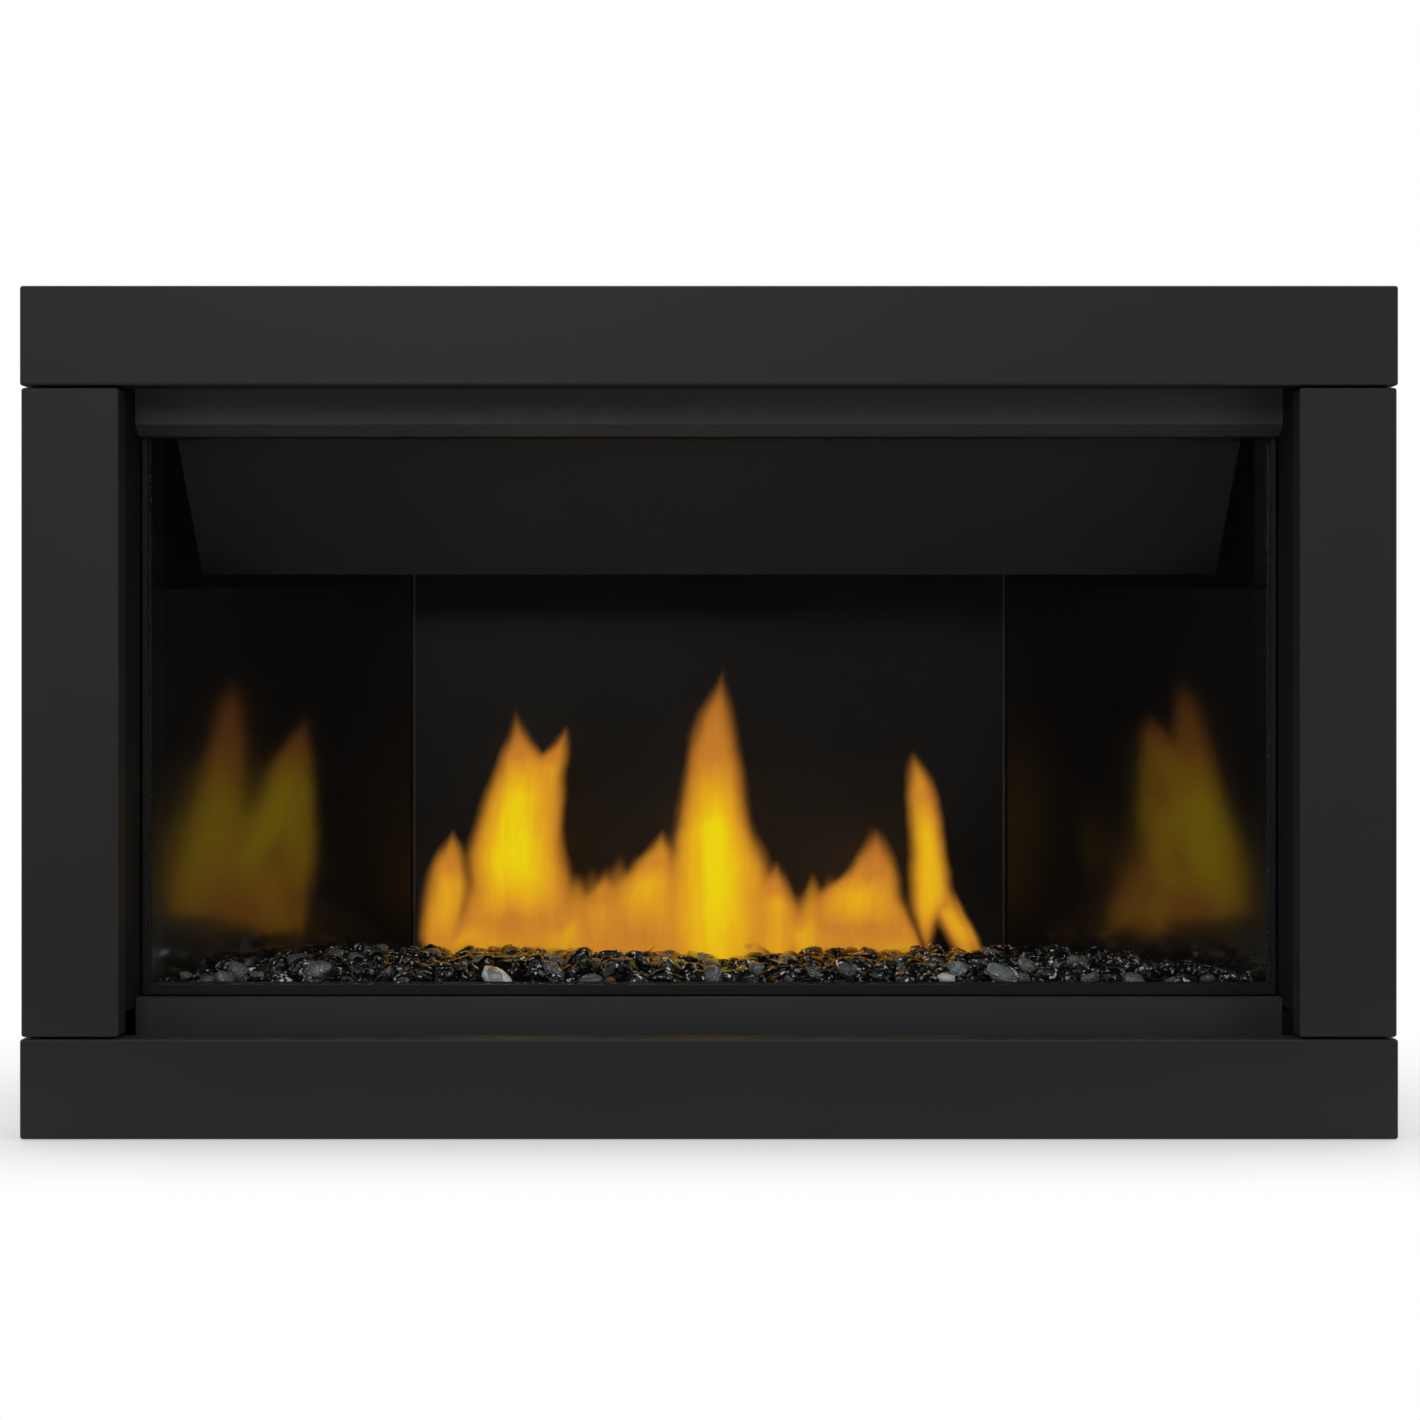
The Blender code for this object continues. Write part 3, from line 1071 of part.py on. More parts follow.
# One long rod in four ears on the roof, on which both relief flaps turn
def make_relief_hinge(look):
    reach = RELIEF_X + FLAP_HALF + RELIEF_EAR_GAP + RELIEF_EAR_SHEET
    start = at(-reach, RELIEF_ROD_DEPTH, RELIEF_ROD_Z)
    made = piece("relief_hinge", rod(start, (1, 0, 0), RELIEF_ROD_RADIUS, reach * 2, 12), look, smooth=True)
    half_depth = RELIEF_EAR_DEPTH / 2
    head = RELIEF_ROD_Z + RELIEF_EAR_RISE
    foot = FIREBOX_ROOF + FIREBOX_SHEET + TOUCH_GAP
    for side in (-1, 1):
        for end in (-1, 1):
            middle = side * RELIEF_X + end * (FLAP_HALF + RELIEF_EAR_GAP + RELIEF_EAR_SHEET / 2)
            low = (middle - RELIEF_EAR_SHEET / 2, RELIEF_ROD_DEPTH - half_depth, foot)
            high = (middle + RELIEF_EAR_SHEET / 2, RELIEF_ROD_DEPTH + half_depth, head)
            join(made, box(low, high))


# Relief flap: a plate over the port with a knuckle round the hinge rod
def make_relief_flap(name, middle, look, pivot):
    foot = FIREBOX_ROOF + FIREBOX_SHEET + TOUCH_GAP
    low = (middle - FLAP_HALF, RELIEF_PORT_FRONT - FLAP_FRONT_LAP, foot)
    high = (middle + FLAP_HALF, RELIEF_ROD_DEPTH - RELIEF_ROD_RADIUS, foot + FLAP_SHEET)
    made = piece(name, box(low, high), look, pivot)
    start = at(middle - FLAP_HALF, RELIEF_ROD_DEPTH, RELIEF_ROD_Z)
    join(made, rod(start, (1, 0, 0), RELIEF_KNUCKLE_RADIUS, FLAP_HALF * 2, 16))
    start = at(middle - FLAP_HALF - OVERRUN, RELIEF_ROD_DEPTH, RELIEF_ROD_Z)
    length = (FLAP_HALF + OVERRUN) * 2
    cut(made, rod(start, (1, 0, 0), RELIEF_ROD_RADIUS + RELIEF_BORE_CLEARANCE, length, 12))


def make_restrictor(look):
    half = RESTRICTOR_WIDTH / 2
    rear = FIREBOX_BACK - TOUCH_GAP
    front = rear - RESTRICTOR_SHEET
    low = (RESTRICTOR_REST_X - half, front, RESTRICTOR_FOOT)
    made = piece("flue_restrictor", box(low, (RESTRICTOR_REST_X + half, rear, RESTRICTOR_HEAD)), look)
    start = at(RESTRICTOR_REST_X, front - RESTRICTOR_KNOB_REACH, (RESTRICTOR_FOOT + RESTRICTOR_HEAD) / 2)
    join(made, rod(start, (0, 1, 0), RESTRICTOR_KNOB_RADIUS, RESTRICTOR_KNOB_REACH + WELD_BITE, 16))


# Outer air collar on the case's back and inner flue collar on the firebox's back
def make_collars(look):
    start = CASE_DEPTH - COLLAR_INBOARD
    make_collar("outer_air_collar", start, CASE_DEPTH + TOUCH_GAP, AIR_RADIUS, AIR_FLANGE_WIDTH, look)
    seat = FIREBOX_BACK + FIREBOX_SHEET + TOUCH_GAP
    make_collar("inner_flue_collar", FIREBOX_BACK, seat, FLUE_RADIUS, FLUE_FLANGE_WIDTH, look)


# One collar: a thin round sleeve with a flange that seats at a given depth
def make_collar(name, start, seat, radius, flange_width, look):
    run = CASE_DEPTH + COLLAR_STANDOUT - start
    front = seat - start
    bore = radius - COLLAR_SHEET
    outline = [(0, bore), (0, radius), (front, radius), (front, radius + flange_width),
               (front + COLLAR_SHEET, radius + flange_width), (front + COLLAR_SHEET, radius),
               (run, radius), (run, bore)]
    shape = turned(outline, at(0, start, VENT_Z), (0, 1, 0), COLLAR_SEGMENTS)
    piece(name, shape, look, smooth=True)


def make_gas_valve(look):
    low = (VALVE_X - VALVE_HALF, VALVE_FRONT, BASE_TOP)
    shape = box(low, (VALVE_X + VALVE_HALF, VALVE_REAR, VALVE_HEAD))
    soften(shape, lambda e: all(v.co.z > BASE_TOP + VALVE_BEND for v in e.verts), VALVE_BEND, 2)
    made = piece("gas_valve", shape, look)
    middle = (VALVE_FRONT + VALVE_REAR) / 2
    start = at(VALVE_X + VALVE_HALF / 2, middle, VALVE_HEAD - WELD_BITE)
    join(made, rod(start, (0, 0, 1), REGULATOR_RADIUS, REGULATOR_HEIGHT + WELD_BITE))


# Fluted knob on the front of the valve
def make_valve_knob(look, pivot):
    rear = VALVE_FRONT - TOUCH_GAP
    points = []
    steps = KNOB_FLUTES * 4
    for index in range(steps):
        angle = math.tau * index / steps
        radius = KNOB_RADIUS - KNOB_FLUTE_DEPTH * (0.5 + 0.5 * math.cos(angle * KNOB_FLUTES))
        points.append((KNOB_X + radius * math.cos(angle), KNOB_Z + radius * math.sin(angle)))
    front = rear - KNOB_LENGTH
    shape = sweep(points, lambda p: at(p[0], front, p[1]), lambda p: at(p[0], rear, p[1]))
    piece("valve_knob", shape, look, pivot)


# Shut-off cock on its own foot, with the lever above it
def make_shutoff(brass, steel, pivot):
    start = at(COCK_X_LOW, COCK_DEPTH, GAS_LINE_Z)
    run = COCK_X_HIGH - COCK_X_LOW
    made = piece("shutoff_cock", tube(start, (1, 0, 0), COCK_RADIUS, COCK_BORE, run), brass, smooth=True)
    start = at(COCK_BOSS_X, COCK_DEPTH, GAS_LINE_Z)
    join(made, rod(start, (0, 0, 1), COCK_BOSS_RADIUS, COCK_BOSS_HEAD - GAS_LINE_Z))
    half = COCK_BRACKET_HALF
    low = (COCK_BOSS_X - half, COCK_DEPTH - half, BASE_TOP)
    join(made, box(low, (COCK_BOSS_X + half, COCK_DEPTH + half, GAS_LINE_Z - COCK_BORE - WELD_BITE)))
    foot = COCK_BOSS_HEAD + TOUCH_GAP
    head = foot + COCK_LEVER_SHEET
    hub = rod(at(COCK_BOSS_X, COCK_DEPTH, foot), (0, 0, 1), COCK_HUB_RADIUS, COCK_LEVER_SHEET)
    lever = piece("shutoff_lever", hub, steel, pivot, smooth=True)
    low = (COCK_BOSS_X - COCK_LEVER_REACH, COCK_DEPTH - COCK_LEVER_HALF, foot)
    join(lever, box(low, (COCK_BOSS_X, COCK_DEPTH + COCK_LEVER_HALF, head)))


# Tubes from the cock to the valve and from the valve to the orifice fitting
def make_gas_tubes(steel, aluminium):
    start = at(VALVE_X + VALVE_HALF + TOUCH_GAP, COCK_DEPTH, GAS_LINE_Z - FLEX_DROP)
    end = at(COCK_X_LOW - TOUCH_GAP, COCK_DEPTH, GAS_LINE_Z)
    along = Vector((FLEX_END_RUN, 0, 0))
    curved_bar("gas_flex_tube", smooth_run(start, along, end, along, TUBE_STEPS), FLEX_RADIUS, steel)
    start = at(VALVE_X, VALVE_REAR + TOUCH_GAP, GAS_LINE_Z)
    end = at(ORIFICE_STEM_X, BURNER_DEPTH, ORIFICE_STEM_FOOT - TOUCH_GAP)
    first = Vector((0, MANIFOLD_END_RUN, 0))
    last = Vector((0, 0, MANIFOLD_END_RUN / 2))
    mid = at((VALVE_X + ORIFICE_STEM_X) / 2, VALVE_REAR + MANIFOLD_END_RUN * 3, GAS_LINE_Z)
    along = Vector((MANIFOLD_END_RUN, 0, 0))
    points = smooth_run(start, first, mid, along, TUBE_STEPS // 2)
    points += smooth_run(mid, along, end, last, TUBE_STEPS // 2)[1:]
    curved_bar("manifold_tube", points, MANIFOLD_RADIUS, aluminium)


def make_controls(plastic, steel, pivot):
    low = (MODULE_X - MODULE_HALF, MODULE_FRONT, BASE_TOP)
    shape = box(low, (MODULE_X + MODULE_HALF, MODULE_FRONT + MODULE_LENGTH, MODULE_HEAD))
    soften(shape, lambda e: True, MODULE_BEND, 2)
    module = piece("control_module", shape, plastic)
    half = ROCKER_HALF_WIDTH + ROCKER_SIDE_GAP
    low = (MODULE_X - half, MODULE_FRONT - OVERRUN, ROCKER_Z - ROCKER_RECESS_HALF)
    high = (MODULE_X + half, MODULE_FRONT + ROCKER_RECESS_DEPTH, ROCKER_Z + ROCKER_RECESS_HALF)
    cut(module, box(low, high))
    outline = [(-ROCKER_FACE_REACH, ROCKER_HALF_HEIGHT), (-ROCKER_FACE_REACH + ROCKER_DISH, 0),
               (-ROCKER_FACE_REACH, -ROCKER_HALF_HEIGHT), (0, -ROCKER_HALF_HEIGHT),
               (ROCKER_BACK_REACH, 0), (0, ROCKER_HALF_HEIGHT)]
    tilted = []
    for depth, z in outline:
        turned_depth = depth * math.cos(ROCKER_TILT) - z * math.sin(ROCKER_TILT)
        turned_z = depth * math.sin(ROCKER_TILT) + z * math.cos(ROCKER_TILT)
        tilted.append((MODULE_FRONT + ROCKER_PIVOT_SETBACK + turned_depth, ROCKER_Z + turned_z))
    shape = profile_x(tilted, MODULE_X - ROCKER_HALF_WIDTH, MODULE_X + ROCKER_HALF_WIDTH)
    piece("rocker_switch", shape, plastic, pivot)
    low = (BATTERY_X - BATTERY_HALF, BATTERY_FRONT, BASE_TOP)
    shape = box(low, (BATTERY_X + BATTERY_HALF, BATTERY_FRONT + BATTERY_LENGTH, BATTERY_HEAD))
    soften(shape, lambda e: True, MODULE_BEND, 2)
    piece("battery_box", shape, plastic)
    wall = CASE_INNER_HALF - TOUCH_GAP
    foot = BASE_TOP + BASE_LIP
    low = (wall - JUNCTION_INBOARD, JUNCTION_REAR - JUNCTION_LENGTH, foot)
    shape = box(low, (wall, JUNCTION_REAR, JUNCTION_HEAD))
    piece("junction_box", shape, steel)


def make_fireplace():
    clear_scene()
    powder_black = finish("powder_black", (0.020, 0.020, 0.021), 0.48)
    inner_black = finish("inner_black", (0.010, 0.010, 0.010), 0.62)
    galvanised = finish("galvanised", (0.52, 0.54, 0.55), 0.42, 1.0)
    porcelain = finish("porcelain_black", (0.006, 0.006, 0.006), 0.08)
    steel = finish("plated_steel", (0.55, 0.55, 0.54), 0.35, 1.0)
    aluminium = finish("aluminium", (0.66, 0.67, 0.68), 0.38, 1.0)
    brass = finish("brass", (0.68, 0.49, 0.22), 0.32, 1.0)
    plastic = finish("plastic_black", (0.030, 0.030, 0.032), 0.50)
    ceramic = finish("ceramic_white", (0.74, 0.72, 0.68), 0.40)
    rope = finish("gasket_rope", (0.060, 0.058, 0.055), 0.90)
    glass = finish("ceramic_glass", (0.92, 0.94, 0.93), 0.02, 0.0, 1.0)
    nuggets = finish("glass_media", (0.020, 0.021, 0.023), 0.06)

    door_axis = joint_empty("door_axis", at(0, HINGE_DEPTH, HINGE_Z))
    apron_axis = joint_empty("apron_axis", at(0, APRON_DEPTH, BASE_TOP))
    shutter_middle = VENTURI_END - SHUTTER_LENGTH / 2
    shutter_axis = joint_empty("shutter_axis", at(shutter_middle, BURNER_DEPTH, VENTURI_Z))
    knob_axis = joint_empty("knob_axis", at(KNOB_X, VALVE_FRONT, KNOB_Z))
    cock_axis = joint_empty("cock_axis", at(COCK_BOSS_X, COCK_DEPTH, COCK_BOSS_HEAD))
    rocker_axis = joint_empty("rocker_axis", at(MODULE_X, MODULE_FRONT + ROCKER_PIVOT_SETBACK, ROCKER_Z))

    make_front_trim(powder_black)
    make_case_wrap(galvanised)
    make_case_base(galvanised)
    make_case_back(galvanised)
    make_nailing_strips(galvanised)
    make_side_returns(powder_black)
    make_hood(powder_black)
    make_apron(powder_black, apron_axis)
    make_bulkhead(inner_black)
    make_firebox_floor(inner_black)
    make_firebox_walls(inner_black)
    make_firebox_roof(inner_black)
    make_firebox_back(inner_black)
    make_upper_liners(powder_black)
    make_baffle(powder_black)
    make_reflectors(porcelain)
    make_media_tray(inner_black)
    make_burner_pan(steel)
    make_port_plate(steel)
    make_media_bed(nuggets)
    make_burner_feed(steel, brass, shutter_axis)
    make_pilot(steel, ceramic)
    make_door_frame(inner_black, door_axis)
    make_pane(glass, door_axis)
    make_gasket(rope, door_axis)
    make_hanger(steel)
    for side, word in ((-1, "left"), (1, "right")):
        middle = side * LATCH_X
        latch_axis = joint_empty(word + "_latch_axis", at(middle, LATCH_PIN_DEPTH, LATCH_PIN_Z))
        make_latch_bracket(word + "_latch_bracket", middle, steel)
        make_latch_lever(word + "_latch_lever", middle, steel, latch_axis)
        flap_axis = joint_empty(word + "_flap_axis", at(side * RELIEF_X, RELIEF_ROD_DEPTH, RELIEF_ROD_Z))
        make_relief_flap(word + "_relief_flap", side * RELIEF_X, steel, flap_axis)
    make_relief_hinge(steel)
    make_restrictor(steel)
    make_collars(galvanised)
    make_gas_valve(aluminium)
    make_valve_knob(plastic, knob_axis)
    make_shutoff(brass, steel, cock_axis)
    make_gas_tubes(steel, aluminium)
    make_controls(plastic, galvanised, rocker_axis)


make_fireplace()
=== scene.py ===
import json
import math
import random

import bmesh
import bpy
from mathutils import Matrix, Vector, noise


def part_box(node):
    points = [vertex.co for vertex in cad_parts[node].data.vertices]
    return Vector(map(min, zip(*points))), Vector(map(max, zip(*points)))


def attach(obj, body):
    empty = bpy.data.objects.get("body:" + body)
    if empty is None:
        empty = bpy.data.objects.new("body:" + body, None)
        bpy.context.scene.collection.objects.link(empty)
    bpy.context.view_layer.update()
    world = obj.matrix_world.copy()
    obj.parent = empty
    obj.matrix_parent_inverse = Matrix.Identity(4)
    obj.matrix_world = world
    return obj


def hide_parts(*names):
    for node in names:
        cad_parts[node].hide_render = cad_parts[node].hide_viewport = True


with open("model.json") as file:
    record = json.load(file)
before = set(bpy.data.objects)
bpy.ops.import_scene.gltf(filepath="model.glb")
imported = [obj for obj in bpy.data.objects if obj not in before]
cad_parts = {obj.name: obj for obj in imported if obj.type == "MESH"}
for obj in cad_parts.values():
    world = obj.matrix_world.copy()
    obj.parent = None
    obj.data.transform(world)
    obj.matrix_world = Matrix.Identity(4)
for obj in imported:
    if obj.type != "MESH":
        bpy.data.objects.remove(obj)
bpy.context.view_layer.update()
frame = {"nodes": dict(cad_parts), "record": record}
nodes = frame["nodes"]
scene = bpy.context.scene
print("frame loaded:", len(nodes), "nodes")


def newObject(name, data, place=(0, 0, 0)):
    made = bpy.data.objects.new(name, data)
    made.location = place
    scene.collection.objects.link(made)
    return made


# camera: level, on the middle of the front, as the photograph was taken
cameraValues = {"place": (0, -2.208, 0.337), "lens": 70.65, "sensor": 36, "shift": (0.0007, -0.0282)}

cameraData = bpy.data.cameras.new("frontCamera")
cameraData.lens = cameraValues["lens"]
cameraData.sensor_width = cameraValues["sensor"]
cameraData.shift_x, cameraData.shift_y = cameraValues["shift"]
scene.camera = newObject("frontCamera", cameraData, cameraValues["place"])
scene.camera.rotation_euler = (math.radians(90), 0, 0)
scene.view_settings.view_transform = "Standard"
scene.cycles.transparent_max_bounces = 64   # the flame sheets lie many deep


# node helpers
def addNode(tree, kind, values=None, **settings):
    made = tree.nodes.new(kind)
    for name, value in settings.items():
        setattr(made, name, value)
    for socket, value in (values or {}).items():
        if isinstance(value, bpy.types.NodeSocket):
            tree.links.new(value, made.inputs[socket])
        else:
            made.inputs[socket].default_value = value
    return made


def math2(tree, operation, a, b=0.0, clamp=False):
    return addNode(tree, "ShaderNodeMath", {0: a, 1: b}, operation=operation, use_clamp=clamp).outputs[0]


def times(tree, a, b, clamp=False):
    return math2(tree, "MULTIPLY", a, b, clamp)


def plus(tree, a, b, clamp=False):
    return math2(tree, "ADD", a, b, clamp)


def minus(tree, a, b, clamp=False):
    return math2(tree, "SUBTRACT", a, b, clamp)


# the point being shaded, in the object's own metres
def placeIn(tree):
    return addNode(tree, "ShaderNodeTexCoord").outputs["Object"]


def partOf(tree, vector, index):
    return addNode(tree, "ShaderNodeSeparateXYZ", {0: vector}).outputs[index]


def noiseAt(tree, place, scale, detail, **more):
    return addNode(tree, "ShaderNodeTexNoise", {"Vector": place, "Scale": scale, "Detail": detail, **more}).outputs[0]


def stretched(tree, place, factors):
    return addNode(tree, "ShaderNodeVectorMath", {0: place, 1: factors}, operation="MULTIPLY").outputs[0]


def mixColour(tree, factor, a, b, blend="MIX"):
    made = addNode(tree, "ShaderNodeMix", {0: factor, 6: a, 7: b}, data_type="RGBA", blend_type=blend)
    return made.outputs[2]


def mixShader(tree, factor, a, b):
    return addNode(tree, "ShaderNodeMixShader", {0: factor, 1: a, 2: b}).outputs[0]


def remap(tree, value, low, high, newLow=0.0, newHigh=1.0, smooth=False):
    values = {0: value, 1: low, 2: high, 3: newLow, 4: newHigh}
    kind = "SMOOTHSTEP" if smooth else "LINEAR"
    return addNode(tree, "ShaderNodeMapRange", values, interpolation_type=kind).outputs[0]


# a shared effect: its inputs with what they start from, and the names of its outputs
def newGroup(name, inputs, outputs):
    group = bpy.data.node_groups.new(name, "ShaderNodeTree")
    kinds = {"Colour": "NodeSocketColor"}
    for label, value in inputs.items():
        kind = kinds.get(label, "NodeSocketFloat")
        group.interface.new_socket(name=label, in_out="INPUT", socket_type=kind).default_value = value
    for label in outputs:
        group.interface.new_socket(name=label, in_out="OUTPUT", socket_type=kinds.get(label, "NodeSocketFloat"))
    return group, group.nodes.new("NodeGroupInput").outputs, group.nodes.new("NodeGroupOutput")


def useGroup(tree, group, **values):
    made = tree.nodes.new("ShaderNodeGroup")
    made.node_tree = group
    for label, value in values.items():
        socket = made.inputs[label]
        if isinstance(value, bpy.types.NodeSocket):
            tree.links.new(value, socket)
        else:
            socket.default_value = value
    return made.outputs


def newMaterial(name, **settings):
    material = bpy.data.materials.new(name)
    material.use_nodes = True
    tree = material.node_tree
    shader = tree.nodes["Principled BSDF"]
    for label, value in settings.items():
        shader.inputs[label.replace("_", " ")].default_value = value
    return material, tree, shader


def feed(tree, node, **sockets):
    for label, value in sockets.items():
        tree.links.new(value, node.inputs[label.replace("_", " ")])


def bumpFrom(tree, shader, height, strength, distance):
    bump = addNode(tree, "ShaderNodeBump", {"Strength": strength, "Distance": distance, "Height": height})
    feed(tree, shader, Normal=bump.outputs[0])


# paint: orange peel, faint mottling, and dust that settles on what faces up
def makePaintGroup():
    starts = {"Colour": (0.02, 0.02, 0.02, 1), "Rough": 0.45, "Peel": 900.0, "Mottle": 0.1, "Dust": 0.15}
    group, given, out = newGroup("paintFilm", starts, ("Colour", "Rough", "Height"))
    place = placeIn(group)
    peel = noiseAt(group, place, given["Peel"], 2.0)
    broad = noiseAt(group, place, 9.0, 5.0, Roughness=0.62)
    fleck = noiseAt(group, place, 260.0, 3.0)
    shift = times(group, minus(group, broad, 0.5), given["Mottle"])
    lift = plus(group, times(group, shift, 4.0), 1.0)
    mottled = mixColour(group, 1.0, given["Colour"], lift, "MULTIPLY")
    facing = addNode(group, "ShaderNodeNewGeometry").outputs["Normal"]
    upward = remap(group, partOf(group, facing, 2), 0.35, 0.95, smooth=True)
    settled = remap(group, times(group, fleck, broad), 0.18, 0.36, smooth=True)
    dust = times(group, times(group, upward, settled), given["Dust"], clamp=True)
    worn = plus(group, given["Rough"], shift)
    feed(group, out, Colour=mixColour(group, dust, mottled, (0.3, 0.28, 0.25, 1)), Height=peel,
         Rough=plus(group, worn, times(group, dust, 0.35), clamp=True))
    return group


# galvanised sheet: spangles of slightly different grey, each with its own gloss
def makeSpangleGroup():
    starts = {"Colour": (0.5, 0.5, 0.5, 1), "Rough": 0.4, "Size": 90.0, "Contrast": 0.3}
    group, given, out = newGroup("zincSpangle", starts, ("Colour", "Rough", "Height"))
    place = placeIn(group)
    bend = addNode(group, "ShaderNodeTexNoise", {"Vector": place, "Scale": 70.0, "Detail": 2.0}).outputs["Color"]
    moved = stretched(group, bend, (0.006, 0.006, 0.006))
    spot = addNode(group, "ShaderNodeVectorMath", {0: place, 1: moved}, operation="ADD").outputs[0]
    cells = addNode(group, "ShaderNodeTexVoronoi", {"Vector": spot, "Scale": given["Size"]})
    grey = addNode(group, "ShaderNodeSeparateColor", {0: cells.outputs["Color"]}).outputs[0]
    broad = noiseAt(group, place, 6.0, 4.0)
    swing = times(group, minus(group, grey, 0.5), given["Contrast"])
    cloudy = remap(group, broad, 0.3, 0.7, 0.88, 1.12)
    tone = times(group, plus(group, swing, 1.0), cloudy)
    feed(group, out, Colour=mixColour(group, 1.0, given["Colour"], tone, "MULTIPLY"), Height=grey,
         Rough=minus(group, given["Rough"], times(group, swing, 0.5), clamp=True))
    return group


# drawn or machined metal: fine lines along x, and stains
def makeGrainGroup():
    starts = {"Colour": (0.5, 0.5, 0.5, 1), "Rough": 0.35, "Fineness": 700.0, "Stain": 0.2}
    group, given, out = newGroup("metalGrain", starts, ("Colour", "Rough", "Height"))
    place = placeIn(group)
    line = noiseAt(group, stretched(group, place, (0.05, 1, 1)), given["Fineness"], 3.0)
    patch = noiseAt(group, place, 38.0, 6.0, Roughness=0.7)
    stained = remap(group, patch, 0.45, 0.75, smooth=True)
    dull = times(group, stained, given["Stain"])
    shade = minus(group, plus(group, 0.92, times(group, line, 0.16)), dull)
    feed(group, out, Colour=mixColour(group, 1.0, given["Colour"], shade, "MULTIPLY"), Height=line,
         Rough=plus(group, given["Rough"], dull, clamp=True))
    return group


# what the fire does to bare steel: straw, brown and blue between two heights, with soot in patches
def makeHeatGroup():
    starts = {"Colour": (0.5, 0.5, 0.5, 1), "Foot": 0.07, "Head": 0.1, "Soot": 0.3}
    group, given, out = newGroup("heatTint", starts, ("Colour", "Soot"))
    place = placeIn(group)
    patch = noiseAt(group, place, 24.0, 5.0)
    heat = remap(group, partOf(group, place, 2), given["Foot"], given["Head"])
    blurred = plus(group, heat, times(group, minus(group, patch, 0.5), 0.8))
    ramp = addNode(group, "ShaderNodeValToRGB", {0: blurred})
    setStops(ramp, [(0.0, (1, 1, 1, 1)), (0.3, (0.86, 0.66, 0.36, 1)), (0.55, (0.5, 0.26, 0.2, 1)),
                    (0.75, (0.2, 0.22, 0.42, 1)), (1.0, (0.3, 0.31, 0.36, 1))])
    tinted = mixColour(group, 1.0, given["Colour"], ramp.outputs[0], "MULTIPLY")
    soot = times(group, remap(group, patch, 0.4, 0.7, smooth=True), given["Soot"])
    feed(group, out, Colour=mixColour(group, soot, tinted, (0.012, 0.011, 0.01, 1)), Soot=soot)
    return group


def setStops(ramp, stops):
    elements = ramp.color_ramp.elements
    while len(elements) < len(stops):
        elements.new(0.5)
    for element, (place, colour) in zip(elements, stops):
        element.position = place
        element.color = colour


# what lies on glass and enamel: a thin haze, heavier low down
def makeHazeGroup():
    starts = {"Rough": 0.05, "Haze": 0.1, "Foot": 0.1, "Head": 0.4}
    group, given, out = newGroup("fireHaze", starts, ("Rough", "Haze"))
    place = placeIn(group)
    low = remap(group, partOf(group, place, 2), given["Head"], given["Foot"])
    cloud = noiseAt(group, place, 5.0, 3.0, Roughness=0.5)
    thick = times(group, remap(group, cloud, 0.2, 0.8, smooth=True), plus(group, 0.45, times(group, low, 0.55)))
    film = times(group, thick, given["Haze"])
    # on the enamel the Haze output also masks the painted sheen
    feed(group, out, Haze=film, Rough=plus(group, given["Rough"], film, clamp=True))
    return group


# braided glass rope, crossed strands a couple of millimetres apart
def makeBraidGroup():
    starts = {"Colour": (0.06, 0.06, 0.06, 1), "Pitch": 210.0}
    group, given, out = newGroup("ropeBraid", starts, ("Colour", "Height"))
    place = placeIn(group)
    strands = []
    for slope in ((1, 0, 1), (1, 0, -1)):
        leaning = addNode(group, "ShaderNodeVectorMath", {0: place, 1: slope}, operation="DOT_PRODUCT").outputs["Value"]
        strands.append(math2(group, "SINE", times(group, leaning, times(group, given["Pitch"], math.tau))))
    crossed = math2(group, "MAXIMUM", *strands)
    shade = remap(group, crossed, -0.6, 1.0, 0.45, 1.25)
    feed(group, out, Colour=mixColour(group, 1.0, given["Colour"], shade, "MULTIPLY"), Height=crossed)
    return group


paintFilm = makePaintGroup()
zincSpangle = makeSpangleGroup()
metalGrain = makeGrainGroup()
heatTint = makeHeatGroup()
fireHaze = makeHazeGroup()
ropeBraid = makeBraidGroup()
print("finishes: shared effects built")


# painted finishes, one entry for each, with what a user would change
powderValues = {"rough": 0.50, "peel": 950.0, "mottle": 0.05, "dust": 0.02, "bump": 0.06}
paintValues = {
    "trimPowder": {**powderValues, "colour": (0.0140, 0.0140, 0.0143, 1), "gloss": 0.32, "dust": 0.05},
    # painted light: a lighter copy of the trim's black powder coat for the hood, the apron and the back panel's hems,
    # standing in for light that the recess keeps from them
    "hoodPaintedLightPowder": {**powderValues, "colour": (0.0285, 0.0285, 0.0292, 1), "rough": 0.52, "gloss": 0.36,
                   "mottle": 0.06, "dust": 0.05},
    # painted shade: a darker copy of the black powder coat for the upper liners and side returns, which stand in shade
    "paintedShadePowder": {**powderValues, "colour": (0.0065, 0.0065, 0.0066, 1), "rough": 0.55, "gloss": 0.20},
    # painted shade: the door frame's copy of the black powder coat, darker than the trim's, set for how little light
    # reaches the recessed rail
    "doorShadedPowder": {**powderValues, "colour": (0.0090, 0.0090, 0.0088, 1), "gloss": 0.28},
    "bafflePaint": {"colour": (0.0160, 0.0170, 0.0186, 1), "rough": 0.62, "gloss": 0.25, "peel": 700.0,
                    "mottle": 0.10, "dust": 0.0, "bump": 0.08},
    "fireboxPaint": {"colour": (0.0050, 0.0049, 0.0048, 1), "rough": 0.70, "gloss": 0.20, "peel": 600.0,
                     "mottle": 0.16, "dust": 0.03, "bump": 0.10},
    "mouldedPlastic": {"colour": (0.024, 0.024, 0.026, 1), "rough": 0.5, "gloss": 0.5, "peel": 1500.0,
                       "mottle": 0.05, "dust": 0.12, "bump": 0.12},
    "glazedCeramic": {"colour": (0.74, 0.72, 0.68, 1), "rough": 0.22, "gloss": 0.5, "peel": 300.0,
                      "mottle": 0.06, "dust": 0.06, "bump": 0.02},
}
